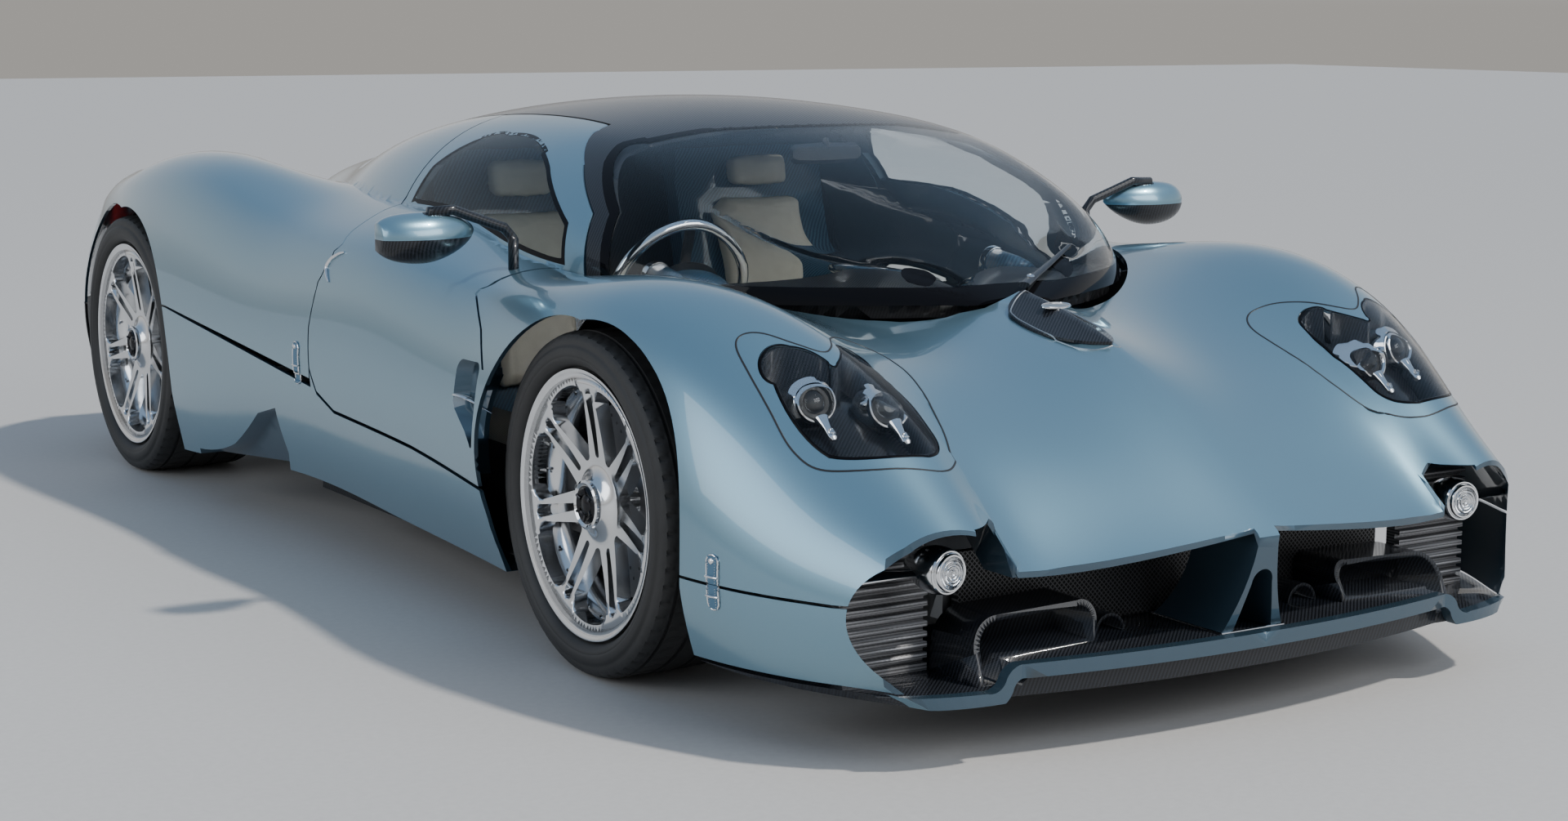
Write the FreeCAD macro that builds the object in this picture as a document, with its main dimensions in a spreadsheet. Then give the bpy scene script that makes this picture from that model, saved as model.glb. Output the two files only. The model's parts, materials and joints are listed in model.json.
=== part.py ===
import FreeCAD, Part
import math
import os

# A low two-seat mid-engined sports car: carbon tub and roof, front and rear clamshells,
# doors hinged at the front and centre-lock wheels. Millimetres, nose to -Y, the car's left side to +X,
# +Z up from the ground under the middle of the car.

V = FreeCAD.Vector
os.makedirs("parts", exist_ok=True)
doc = FreeCAD.newDocument("supercar")

# Driving dimensions
SIZES = {
    "front_overhang": 1032.5,
    "wheelbase": 2795.0,
    "rear_overhang": 777.5,
    "body_width": 2036.0,
    "skin": 12.0,
    "door_wall": 55.0,
    "shut_line": 6.0,
    "edge_skin": 5.0,
    "door_rebate": 14.0,
    "door_room": 5.0,
    "front_tyre_radius": 359.4,
    "rear_tyre_radius": 376.9,
    "front_tyre_width": 265.0,
    "rear_tyre_width": 325.0,
    "front_rim_radius": 281.0,
    "rear_rim_radius": 294.0,
    "front_tyre_face": 950.0,
    "rear_tyre_face": 975.0,
    "spoke_pairs": 7.0,
    "front_disc_radius": 205.0,
    "rear_disc_radius": 200.0,
    "disc_thickness": 34.0,
    "hub_radius": 62.0,
    "stub_radius": 30.0,
    "running_gap": 0.06,
    "seat_gap": 0.3,
    "glass_thickness": 6.0,
    "roof_wall": 24.0,
    "floor_height": 128.0,
    "floor_thickness": 30.0,
    "beam_outer": 845.0,
    "beam_inner": 630.0,
    "beam_height": 400.0,
    "engine_length": 700.0,
    "engine_width": 560.0,
    "engine_height": 560.0,
    "pipe_radius": 48.0,
    "pipe_wall": 3.0,
    "wheel_rim_radius": 175.0,
    "hinge_pin_radius": 6.0,
    "jack_pad_radius": 40.0,
    "jack_pad_depth": 12.0,
}
sheet = doc.addObject("Spreadsheet::Sheet", "Sizes")
for row, (alias, value) in enumerate(SIZES.items(), start=1):
    sheet.set(f"A{row}", alias)
    sheet.set(f"B{row}", str(value))
    sheet.setAlias(f"B{row}", alias)
doc.recompute()


def size(alias):
    return float(sheet.get(alias))


half_width = size("body_width") / 2
nose = -(size("front_overhang") + size("wheelbase") + size("rear_overhang")) / 2
front_axle = nose + size("front_overhang")
rear_axle = front_axle + size("wheelbase")
tail = rear_axle + size("rear_overhang")


def along(share):
    """Place along the car: -1 nose, 0 front axle, 1 rear axle, 2 tail."""
    if share < 0:
        return front_axle + share * size("front_overhang")
    if share > 1:
        return rear_axle + (share - 1) * size("rear_overhang")
    return front_axle + share * size("wheelbase")


# Lines of the body. Columns: place along the car; height of the middle line; then across from
# the middle and up: valley, inner foot of the wing, crown, shoulder, widest line, lower edge.
BODY_LINES = [
    (-1.06, 335, 360, 318, 545, 290, 640, 350, 715, 300, 770, 220, 700, 120),
    (-0.90, 455, 370, 402, 545, 380, 672, 462, 765, 412, 825, 290, 740, 122),
    (-0.75, 562, 380, 512, 540, 512, 680, 574, 812, 492, 895, 330, 840, 128),
    (-0.55, 682, 400, 620, 560, 648, 715, 706, 885, 605, 965, 400, 925, 138),
    (-0.30, 757, 440, 700, 620, 765, 755, 806, 930, 715, 1000, 470, 958, 148),
    (0.00, 800, 450, 735, 640, 785, 785, 827, 955, 745, 1013, 500, 955, 148),
    (0.15, 815, 500, 760, 670, 778, 800, 790, 935, 745, 985, 590, 925, 150),
    (0.35, 862, 500, 850, 700, 868, 825, 845, 945, 778, 985, 600, 920, 168),
    (0.60, 895, 460, 890, 660, 885, 820, 862, 945, 800, 1000, 600, 935, 178),
    (0.80, 865, 430, 845, 650, 895, 820, 948, 965, 860, 1018, 600, 975, 140),
    (1.00, 800, 420, 765, 650, 855, 800, 917, 960, 830, 1018, 560, 965, 150),
    (1.30, 765, 420, 725, 635, 825, 775, 883, 930, 795, 992, 560, 945, 170),
    (1.60, 735, 420, 695, 620, 775, 745, 826, 880, 740, 943, 540, 900, 190),
    (1.85, 690, 420, 650, 600, 690, 700, 712, 815, 620, 872, 480, 840, 220),
    (2.02, 600, 420, 560, 570, 560, 665, 572, 760, 490, 805, 400, 770, 240),
]

# Lines of the cabin. Columns: place along the car; then across and up: foot, waist, rail;
# height of the roof.
CABIN_LINES = [
    (-0.215, 120, 700, 110, 735, 80, 752, 758),
    (0.00, 470, 700, 455, 775, 330, 842, 878),
    (0.10, 665, 700, 650, 805, 470, 945, 1003),
    (0.20, 735, 700, 708, 850, 505, 1040, 1090),
    (0.35, 765, 700, 712, 910, 475, 1095, 1143),
    (0.50, 760, 700, 695, 925, 450, 1088, 1134),
    (0.65, 705, 700, 630, 915, 400, 1040, 1088),
    (0.80, 600, 700, 525, 860, 335, 955, 1008),
    (1.00, 460, 660, 400, 780, 260, 868, 900),
    (1.40, 350, 600, 305, 705, 200, 755, 782),
    (1.75, 260, 560, 230, 620, 150, 650, 668),
]


def pairs(row):
    """The across and up values of a row as points."""
    return [(row[i], row[i + 1]) for i in range(0, len(row), 2)]


def moved_in(points, wall):
    """Half of a section, moved inwards by a wall, square to the line at each point."""
    result = []
    last = len(points) - 1
    for i, (x, z) in enumerate(points):
        ax, az = points[max(i - 1, 0)]
        bx, bz = points[min(i + 1, last)]
        if i == 0:
            ax, az = -bx, bz
        length = math.hypot(bx - ax, bz - az)
        result.append((x + wall * (bz - az) / length, z - wall * (bx - ax) / length))
    return result


def arc(a, b, c, y):
    return Part.Arc(V(a[0], y, a[1]), V(b[0], y, b[1]), V(c[0], y, c[1])).toShape()


def line(a, b, y):
    return Part.makeLine(V(a[0], y, a[1]), V(b[0], y, b[1]))


def flipped(point):
    return (-point[0], point[1])


def body_section(row, wall):
    """Closed section of the body at one place: lower edge, side, crown and valley arcs."""
    y = along(row[0])
    spread = half_width / 1018.0
    points = [(0.0, row[1])] + [(x * spread, z) for x, z in pairs(row[2:])]
    middle, valley, inner, crown, shoulder, widest, low = moved_in(points, wall)
    middle = (0.0, row[1] - wall)
    edges = [
        arc(middle, valley, inner, y),
        arc(inner, crown, shoulder, y),
        arc(shoulder, widest, low, y),
        line(low, flipped(low), y),
        arc(flipped(low), flipped(widest), flipped(shoulder), y),
        arc(flipped(shoulder), flipped(crown), flipped(inner), y),
        arc(flipped(inner), flipped(valley), middle, y),
    ]
    return Part.Wire(edges)


def cabin_section(row, wall):
    """Closed section of the cabin at one place: foot line, side arcs and roof arc."""
    y = along(row[0])
    points = [(0.0, row[7])] + [(x, z) for x, z in pairs(row[1:7])][::-1]
    top, rail, waist, foot = moved_in(points, wall)
    top = (0.0, row[7] - wall)
    foot = (foot[0], row[2])
    edges = [
        arc(flipped(rail), top, rail, y),
        arc(rail, waist, foot, y),
        line(foot, flipped(foot), y),
        arc(flipped(foot), flipped(waist), flipped(rail), y),
    ]
    return Part.Wire(edges)


body_solids = {}


def body_solid(wall):
    """The body moved inwards by a wall; each wall is lofted once."""
    if wall not in body_solids:
        sections = [body_section(row, wall) for row in BODY_LINES]
        body_solids[wall] = Part.makeLoft(sections, True, False)
    return body_solids[wall]


def cabin_solid(wall, rows=CABIN_LINES):
    return Part.makeLoft([cabin_section(row, wall) for row in rows], True, False)


def side_prism(points, inner, outer):
    """Prism of a side view outline (y, z), from inner to outer across the car.
    A point with a third value is an arc's middle: the arc ends at the next point."""
    return outline_prism(points, V(inner, 0, 0), V(outer - inner, 0, 0), lambda p: V(0, p[0], p[1]))


def plan_prism(points, low, high):
    """Prism of a plan view outline (x, y), from low to high."""
    return outline_prism(points, V(0, 0, low), V(0, 0, high - low), lambda p: V(p[0], p[1], 0))


def front_prism(points, rear, front):
    """Prism of a front view outline (x, z), between two places along the car."""
    return outline_prism(points, V(0, rear, 0), V(0, front - rear, 0), lambda p: V(p[0], 0, p[1]))


def outline_face(points, place):
    """Face inside an outline of lines and arcs, each point put in space by place."""
    count = len(points)
    edges = []
    i = 0
    while i < count:
        start = points[i]
        middle = points[(i + 1) % count]
        if len(middle) == 3:
            end = points[(i + 2) % count]
            edges.append(Part.Arc(place(start), place(middle), place(end)).toShape())
            i += 2
        else:
            edges.append(Part.makeLine(place(start), place(middle)))
            i += 1
    return Part.Face(Part.Wire(edges))


def outline_prism(points, shift, sweep, place):
    face = outline_face(points, place)
    face.translate(shift)
    return face.extrude(sweep)


def revolved(outline):
    """Ring round the X axis from an outline (along the axis, radius)."""
    face = outline_face(outline, lambda p: V(p[0], 0, p[1]))
    return face.revolve(V(0, 0, 0), V(1, 0, 0), 360)


def mirrored(shape):
    return shape.mirror(V(0, 0, 0), V(1, 0, 0))


def both(shape):
    """A shape and its mirror image on the other side, as one compound."""
    return Part.makeCompound([shape, mirrored(shape)])


def cylinder_x(radius, x_low, x_high, y, z):
    return Part.makeCylinder(radius, x_high - x_low, V(x_low, y, z), V(1, 0, 0))


def rod(a, b, radius):
    return Part.makeCylinder(radius, (b - a).Length, a, b - a)


def solids_of(shape, smallest=2000.0):
    """The solids of a shape, without slivers."""
    found = [s for s in shape.Solids if s.Volume > smallest]
    return found[0] if len(found) == 1 else Part.makeCompound(found)


def piece(name, shape, place=V(0, 0, 0)):
    feature = doc.addObject("Part::Feature", name)
    feature.Label = name
    feature.Shape = shape
    feature.Placement = FreeCAD.Placement(place, FreeCAD.Rotation())
    return feature


def compound(shapes):
    return Part.makeCompound(shapes)


def fused(shapes):
    """One solid from shapes that meet."""
    return shapes[0].fuse(shapes[1:]).removeSplitter()


def box(x_low, x_high, y_low, y_high, z_low, z_high):
    return Part.makeBox(x_high - x_low, y_high - y_low, z_high - z_low, V(x_low, y_low, z_low))


skin = size("skin")
gap = size("shut_line")
seat_gap = size("seat_gap")
WIDE = half_width + 200
HIGH = 1300.0
outer_body = body_solid(0.0)
inner_body = body_solid(skin)
body_shell = outer_body.cut(inner_body)
outer_cabin = cabin_solid(0.0)

# Places that panels share
floor_low = size("floor_height")
floor_top = floor_low + size("floor_thickness")
beam_outer = size("beam_outer")
beam_inner = size("beam_inner")
beam_top = size("beam_height")
bumper_line = 310.0
clam_top = along(0.18)
door_rear = along(0.447)
door_top_rear = along(0.481)
bulkhead = along(0.565)
roof_half = 430.0
cowl_top = 745.0
arch_gap = 28.0


def arch_outline(axle, radius, ahead, behind):
    """Side outline of a wheel arch, open at the bottom."""
    rise = radius + arch_gap
    return [
        (axle - ahead, -50),
        (axle - ahead, radius * 0.8),
        (axle - ahead * 0.76, radius + 0.74 * rise, "arc"),
        (axle - 30, radius + rise),
        (axle + behind * 0.74, radius + 0.74 * rise, "arc"),
        (axle + behind, radius * 0.8),
        (axle + behind, -50),
    ]


front_arches = both(side_prism(
    arch_outline(front_axle, size("front_tyre_radius"), 472, 366), 560, WIDE))
front_wells = both(side_prism(
    arch_outline(front_axle, size("front_tyre_radius"), 490, 412), 560, WIDE)).common(inner_body)
rear_arches = both(side_prism(
    arch_outline(rear_axle, size("rear_tyre_radius"), 505, 425), 560, WIDE))

# Plan outlines of the nose and the tail
nose_plan = [
    (-WIDE, tail + 100), (-WIDE, along(-0.5)), (-980, along(-0.55)), (-930, along(-0.70)),
    (-880, along(-0.795)), (-800, along(-0.868)), (-680, along(-0.915), "arc"),
    (-545, along(-0.925)), (0, nose + 20, "arc"),
    (545, along(-0.925)), (680, along(-0.915), "arc"), (800, along(-0.868)),
    (880, along(-0.795)), (930, along(-0.70)), (980, along(-0.55)), (WIDE, along(-0.5)),
    (WIDE, tail + 100),
]
nose_trim = plan_prism(nose_plan, 0, HIGH)
tail_plan = [
    (-WIDE, nose - 100), (-WIDE, along(1.6)), (-860, along(1.85)), (-700, along(1.975), "arc"),
    (-520, tail), (520, tail), (700, along(1.975), "arc"), (860, along(1.85)),
    (WIDE, along(1.6)), (WIDE, nose - 100),
]
tail_trim = plan_prism(tail_plan, 0, HIGH)


def screen_foot(grow):
    """Plan outline of the windscreen's foot and the cabin behind it, grown outwards."""
    return [
        (0, along(-0.222) - grow),
        (430, along(-0.045) - grow, "arc"),
        (700 + grow, along(0.115)),
        (735 + grow, along(0.2)),
        (735 + grow, along(0.45)),
        (-735 - grow, along(0.45)),
        (-735 - grow, along(0.2)),
        (-700 - grow, along(0.115)),
        (-430, along(-0.045) - grow, "arc"),
    ]


# Side view lines. The gap between front clamshell and door, from the top down.
clam_gap = [(clam_top, HIGH), (clam_top, 755), (clam_top - 95, 680), (clam_top - 148, 600)]
# The gap round the door's rear and foot, from the top forwards to the front arch
door_foot = [
    (door_top_rear, HIGH), (door_top_rear, 862), (door_rear, 785), (door_rear + 2, 765),
    (door_rear + 50, 700), (door_rear + 66, 590),
    (door_rear + 60, 488), (door_rear + 30, 435), (door_rear - 60, 399), (along(0.27), 376),
    (along(0.09), 331),
]
# The front edge of the door's window frame, from the shoulder up to the roof
pillar_line = [(along(0.142), 735), (along(0.169), 915), (along(0.2255), 1012), (along(0.293), 1106)]
# The rear edge of the windscreen
screen_line = [(along(0.127), 745), (along(0.153), 915), (along(0.21), 1020), (along(0.229), 1062),
               (along(0.222), 1085), (along(0.198), 1096)]


def shifted(points, dy, dz=0.0):
    return [(y + dy, z + dz) for y, z in points]


def rim_of(prism, reach):
    """The band of a prism within a reach of its outline, seen from the side."""
    core = prism
    for dy, dz in ((reach, 0), (-reach, 0), (0, reach), (0, -reach)):
        core = core.common(prism.translated(V(0, dy, dz)))
    return prism.cut(core)


# Front clamshell: bonnet and wings in one skin, open underneath
# Its rear edge stands back further than a shut line, for the door's edge that swings past
door_room = size("door_room")
front_side = shifted(clam_gap, -door_room) + [
    (front_axle + 250, 600), (front_axle, bumper_line), (nose - 100, bumper_line),
    (nose - 100, HIGH)]
front_clam = body_shell.common(side_prism(front_side, -WIDE, WIDE)).common(nose_trim)
front_clam = front_clam.cut(front_arches).cut(plan_prism(screen_foot(gap), 0, HIGH))
# The headlamps' openings, seen square from above and in front
lamp_outline = [
    (690, -1838), (664, -1812, "arc"), (640, -1772), (596, -1738, "arc"), (570, -1772),
    (561, -1880), (568, -1990), (590, -2040, "arc"), (632, -2066), (725, -2052, "arc"),
    (806, -1990), (828, -1920, "arc"), (826, -1830), (800, -1757, "arc"), (752, -1772),
    (714, -1805, "arc"), (702, -1832), (697, -1843, "arc"),
]


def lamp_prism(grow, low, high):
    """Prism of the headlamp's outline in plan, grown about its middle."""
    middle_x = 697
    middle_y = front_axle - 635
    stretch = 1 + grow / 130.0
    points = []
    for point in lamp_outline:
        x = middle_x + (point[0] - middle_x) * stretch
        y = middle_y + (point[1] - middle_y) * stretch
        points.append((x, y) + point[2:])
    return plan_prism(points, low, high)


front_clam = front_clam.cut(both(lamp_prism(0, 400, 900)))
# The column from the bonnet's ridge down to the splitter, with two legs
splitter_top = 187.0
column_side = [
    (nose + 4, 378), (nose + 12, 330), (nose + 32, 240, "arc"), (nose + 46, splitter_top),
    (nose + 246, splitter_top), (nose + 205, 255, "arc"), (nose + 190, 335), (nose + 240, 430),
    (nose + 300, 580), (nose + 215, 560), (nose + 90, 470), (nose + 20, 410),
]
column_front = [
    (-22, 600), (-26, 360), (-44, 270, "arc"), (-78, splitter_top), (-50, splitter_top),
    (-26, 285), (0, 312, "arc"), (26, 285), (50, splitter_top), (78, splitter_top),
    (44, 270, "arc"), (26, 360), (22, 600),
]
column = side_prism(column_side, -100, 100).common(front_prism(column_front, nose - 50, nose + 400))
front_clam = front_clam.fuse(column.common(outer_body))
# The corner intake's notch beside the bonnet, with the duct's inner wall behind it
notch = front_prism([(549, 280), (549, 424), (555, 441, "arc"), (573, 447), (640, 447), (640, 280)],
                    nose - 50, along(-0.86))
front_clam = front_clam.cut(both(notch))
duct_wall = side_prism([(along(-0.915), 345), (along(-0.915), 480), (along(-0.74), 600),
                        (along(-0.74), 430), (along(-0.83), 345)], 540, 550)
front_clam = front_clam.fuse(both(duct_wall.common(body_solid(skin / 2))))
# The skin is thinner beside the doors, where their edge swings past
edge_skin = size("edge_skin")
edge_side = shifted(clam_gap, -26 - door_room) + [(clam_gap[-1][0] + 60, 600), (clam_top + 60, HIGH)]
front_clam = front_clam.cut(body_solid(edge_skin).common(side_prism(edge_side, -WIDE, WIDE)))
front_clam = solids_of(front_clam)
piece("front_clam", front_clam)


# Headlamps: a glass cover flush with the wing, a carbon bowl behind it, two round lamps in each
glass = size("glass_thickness")
cover_outline = lamp_prism(-2.0, 400, 900).common(lamp_prism(0, 400, 900).translated(V(0, -1.5, 0)))
lamp_covers = outer_body.common(cover_outline).cut(body_solid(glass))
piece("headlamp_covers", both(solids_of(lamp_covers)))
bowl = body_solid(glass + seat_gap).common(lamp_prism(-2.0, 400, 900)).cut(body_solid(90.0))
bowl = bowl.cut(lamp_prism(-9.0, 400, 900).cut(body_solid(80.0)))
bowl = solids_of(bowl)
LAMPS = [(759, -1866, 640, 44), (627, -1916, 630, 46)]
lamp_aim = V(0.12, -0.9, 0.28)
for x, y, z, radius in LAMPS:
    bowl = bowl.fuse(rod(V(x, y, z - 12), V(x, y, z - 12) - lamp_aim * 75, radius * 0.8))
bowl = bowl.removeSplitter()
lamps = []
for x, y, z, radius in LAMPS:
    face = V(x, y, z)
    pod = rod(face - lamp_aim * 10, face + lamp_aim * 22, radius)
    lamps.append(pod.cut(bowl).common(body_solid(glass + 2)))
bowl = bowl.common(body_solid(glass + 1.0))
piece("headlamp_bowls", both(solids_of(bowl)))
piece("headlamps", both(compound([solids_of(lamp, 20000.0) for lamp in lamps])))

# Badge plate on the bonnet, bare
badge_outline = [
    (0, along(-0.53)), (66, along(-0.44), "arc"), (78, along(-0.31)), (0, along(-0.24), "arc"),
    (-78, along(-0.31)), (-66, along(-0.44), "arc"),
]
badge = body_solid(-7.0).common(plan_prism(badge_outline, 500, 900)).cut(body_solid(-1.0))
piece("badge_plate", solids_of(badge))

# Doors: thick below, a slim frame round the window, a deep wall along the foot
wall = size("door_wall")
door_side = shifted(door_foot, -gap / 2) + [
    (front_axle + 100, 331), (front_axle + 100, 600)
] + shifted(clam_gap, gap)[::-1]
frame_side = [(y + gap, z) for y, z in pillar_line] + [
    (along(0.298), HIGH), (door_top_rear - gap / 2, HIGH), (door_top_rear - gap / 2, 862),
    (door_rear - gap / 2, 785), (door_rear - gap / 2, 735)]
door_prism = side_prism(door_side, 500, WIDE)
frame_prism = side_prism(frame_side, roof_half + gap * 1.5, WIDE)
door_low = outer_body.common(door_prism).cut(front_arches).cut(front_wells)
door_high = outer_cabin.common(frame_prism)
door = door_low.fuse(door_high)
hollow_low = body_solid(wall)
hollow_high = cabin_solid(size("roof_wall"))
door = door.cut(hollow_low).cut(hollow_high)
# The edges step back behind the outer skin
rebate = size("door_rebate")
rim_low = rim_of(door_prism, rebate).common(box(-WIDE, WIDE, nose, tail, 0, 875))
door = door.cut(rim_low.common(inner_body))
corner = box(0, WIDE, door_rear - 60, door_top_rear + 10, 680, 880)
door = door.cut(rim_of(door_prism, 3 * rebate).common(corner).common(inner_body))
door = door.cut(box(roof_half, roof_half + gap + rebate, nose, tail, 1000, HIGH).common(
    cabin_solid(edge_skin + 4)))
rear_rim = box(0, WIDE, door_top_rear - gap / 2 - 18, door_top_rear + 50, 735, HIGH)
door = door.cut(rear_rim.common(cabin_solid(edge_skin + 4)))
window_side = [
    (along(0.172), 770), (along(0.191), 890), (along(0.265), 1003),
    (along(0.314), 1047, "arc"), (along(0.386), 1060), (along(0.436), 1038, "arc"),
    (along(0.465), 975), (along(0.465), 770),
]
sill_cut = body_solid(-9.0)
window_hole = side_prism(window_side, 300, WIDE).cut(sill_cut)
# The air outlet behind the front wheel: a pocket that runs to a point below
vent_side = [
    (along(0.1782), 515), (along(0.1775), 585), (along(0.173), 604, "arc"), (along(0.165), 610),
    (along(0.1395), 612), (along(0.1348), 606, "arc"), (along(0.1338), 590),
    (along(0.136), 500), (along(0.1406), 432), (along(0.1424), 424, "arc"),
    (along(0.1453), 430), (along(0.154), 458), (along(0.1745), 498),
]
door = door.cut(side_prism(vent_side, 700, WIDE).cut(body_solid(wall - skin)))
door = solids_of(door.cut(window_hole), 50000.0)
piece("door_left", door)
piece("door_right", mirrored(door))
glass_shell = outer_cabin.cut(cabin_solid(glass))
pane = glass_shell.common(side_prism(window_side, 300, WIDE)).cut(sill_cut)
pane = solids_of(pane.cut(door))
piece("door_glass_left", pane)
piece("door_glass_right", mirrored(pane))

# Mirrors on the doors: a pole in a ferrule, a bent arm and a pod hung under its end.
# Columns of the pod: across; half height; depth ahead of the glass; middle's height.
POD_SECTIONS = [
    (898, 6, 12, 880), (920, 22, 40, 878), (965, 41, 66, 873), (1020, 52, 78, 869),
    (1075, 50, 72, 869), (1112, 40, 58, 871), (1128, 28, 44, 872),
]


def mirror_side():
    glass_y = clam_top + 80
    foot = V(813, clam_top + 44, 742)
    path = [V(812, clam_top + 46, 858), V(835, clam_top + 46, 884), V(905, clam_top + 44, 908),
            V(960, clam_top + 40, 928), V(1020, clam_top + 40, 926)]
    shapes = [rod(foot, path[0], 12), rod(foot, foot + V(0, 0, 34), 16)]
    for start, end in zip(path, path[1:]):
        shapes.append(Part.makeSphere(11, start))
        shapes.append(rod(start, end, 11))
    sections = []
    for x, half, depth, z in POD_SECTIONS:
        top = V(x, glass_y, z + half)
        low = V(x, glass_y, z - half)
        sections.append(Part.Wire([
            Part.Arc(top, V(x, glass_y - depth, z), low).toShape(), Part.makeLine(low, top)]))
    shapes.append(Part.makeLoft(sections, True, False))
    return fused(shapes).cut(body_solid(-0.2))


mirror = solids_of(mirror_side())
piece("mirror_left", mirror)
piece("mirror_right", mirrored(mirror))

# Roof: carbon shell with the windscreen's two pillars, standing on the tub
roof_wall = size("roof_wall")
roof_shell = outer_cabin.cut(cabin_solid(roof_wall))
pillar_side = screen_line + [(screen_line[-1][0], HIGH), (along(0.293), HIGH)] + pillar_line[::-1]
pillar_side = [(y, max(z, cowl_top)) for y, z in pillar_side]
crown_side = [
    screen_line[-1], screen_line[-2], (screen_line[-2][0], 900), (bulkhead, 900), (bulkhead, HIGH),
    (screen_line[-1][0], HIGH)]
roof = roof_shell.common(side_prism(pillar_side, -WIDE, WIDE).fuse(
    side_prism(crown_side, -roof_half, roof_half)))
roof = solids_of(roof)
piece("roof", roof)

# Windscreen
screen_side = [(nose + 400, cowl_top)] + screen_line + [
    (screen_line[-1][0], HIGH), (nose + 400, HIGH)]
screen = glass_shell.common(side_prism(screen_side, -WIDE, WIDE))
screen = screen.cut(roof)
piece("windscreen", solids_of(screen))

# Tub: floor, side beams, front and rear bulkheads and the shelf under the windscreen
tub_front = along(0.078)
tub_outer = [
    (-455, tub_front), (455, tub_front), (468, along(0.097)), (630, along(0.148)),
    (beam_outer - 50, along(0.151)), (beam_outer, along(0.19)), (beam_outer, bulkhead + 30),
    (-beam_outer, bulkhead + 30), (-beam_outer, along(0.19)), (-beam_outer + 50, along(0.151)),
    (-630, along(0.148)), (-468, along(0.097)),
]
tub_inner = [
    (-425, tub_front + 30), (425, tub_front + 30), (438, along(0.103)),
    (beam_inner - 30, along(0.16)), (beam_inner, along(0.18)), (beam_inner, bulkhead),
    (-beam_inner, bulkhead), (-beam_inner, along(0.18)), (-beam_inner + 30, along(0.16)),
    (-438, along(0.103)),
]
tub = plan_prism(tub_outer, floor_low, beam_top).cut(plan_prism(tub_inner, floor_top, HIGH))
toe_board = plan_prism(tub_outer, beam_top, cowl_top - 30).cut(plan_prism(tub_inner, floor_top, HIGH))
toe_board = toe_board.common(box(-WIDE, WIDE, nose, along(0.148), 0, HIGH))
shelf = plan_prism(screen_foot(-48), cowl_top - 30, cowl_top)
shelf = shelf.common(box(-WIDE, WIDE, nose, along(0.148), 0, HIGH))
rear_wall = box(-beam_outer, beam_outer, bulkhead, bulkhead + 30, beam_top, HIGH)
rear_wall = rear_wall.common(cabin_solid(roof_wall + seat_gap).fuse(
    box(-610, 610, nose, tail, beam_top - 5, 720)))
JACK_X = 760.0
JACK_PLACES = [along(0.24), along(0.55)]
jack_pads = [Part.makeCylinder(size("jack_pad_radius"), size("jack_pad_depth") + 5,
                               V(x, y, floor_low - size("jack_pad_depth")))
             for x in (-JACK_X, JACK_X) for y in JACK_PLACES]
tub = fused([tub, toe_board, shelf, rear_wall] + jack_pads)
piece("tub", solids_of(tub))

# Frames: two rails with a cross beam in front, two under the engine with the tail's hinges
rail_low = 225.0
front_rails = [box(300, 350, nose + 330, tub_front, rail_low, rail_low + 130)]
front_rails.append(mirrored(front_rails[0]))
front_frame = fused(front_rails + [box(-560, 560, nose + 290, nose + 330, rail_low, rail_low + 90)])
piece("front_frame", front_frame)
rail_reach = size("engine_width") / 2
rear_beam_y = tail - 250
rear_rails = [box(rail_reach - 40, rail_reach + 20, bulkhead + 30, rear_beam_y, 200, 290)]
rear_rails.append(mirrored(rear_rails[0]))
rear_hinge_y = tail - 12.5
rear_hinge_z = 462.0
HINGE_X = 330.0
hinge_arms = [
    side_prism([(rear_beam_y, 222), (rear_beam_y + 40, 222), (rear_beam_y + 40, 280),
                (rear_hinge_y + 6, rear_hinge_z - 12), (rear_hinge_y + 6, rear_hinge_z + 6),
                (rear_hinge_y - 10, rear_hinge_z + 6), (rear_beam_y + 10, 290)],
               HINGE_X - 60, HINGE_X - 30),
    cylinder_x(size("hinge_pin_radius"), HINGE_X - 40, HINGE_X + 15, rear_hinge_y, rear_hinge_z)]
hinge_arm = fused(hinge_arms)
rear_frame = fused(rear_rails + [box(-540, 540, rear_beam_y, rear_beam_y + 40, 222, 290),
                                 hinge_arm, mirrored(hinge_arm)])
piece("rear_frame", rear_frame)

# Engine: one plain block on the rails
engine = doc.addObject("Part::Box", "engine")
engine.Label = "engine"
engine.setExpression("Length", "Sizes.engine_width")
engine.setExpression("Width", "Sizes.engine_length")
engine.setExpression("Height", "Sizes.engine_height")
engine.Placement.Base = V(-size("engine_width") / 2, bulkhead + 90, 290 + seat_gap)

# Side panels: sills and the fixed panels ahead of the rear wheels, with an outlet under each lobe
sill_side = [(y, z - gap * 1.5) for y, z in door_foot[::-1][:5]] + [
    (door_rear + 60, 440), (along(0.82), 545 - gap), (along(0.85), 545 - gap), (along(0.85), 60),
    (along(0.09), 60)]
side_panel = body_shell.common(side_prism(sill_side, beam_outer, WIDE))
outlet = [
    (302, 352), (429, 321), (524, 268, "arc"), (648, 207), (760, 176, "arc"), (900, 158),
    (900, 60), (420, 60), (310, 230)]
outlet_frame = [
    (290, 364), (432, 333), (530, 279, "arc"), (654, 219), (766, 188, "arc"), (915, 170),
    (915, 50), (405, 50), (296, 230)]
outlet_depth = 48.0
side_panel = side_panel.fuse(outer_body.common(
    side_prism(outlet_frame, beam_outer, WIDE)).cut(body_solid(outlet_depth + 10)))
side_panel = side_panel.cut(side_prism(outlet, beam_outer, WIDE).cut(body_solid(outlet_depth)))
side_panel = side_panel.cut(front_arches).cut(rear_arches)
piece("side_panels", both(solids_of(side_panel)))

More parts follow.
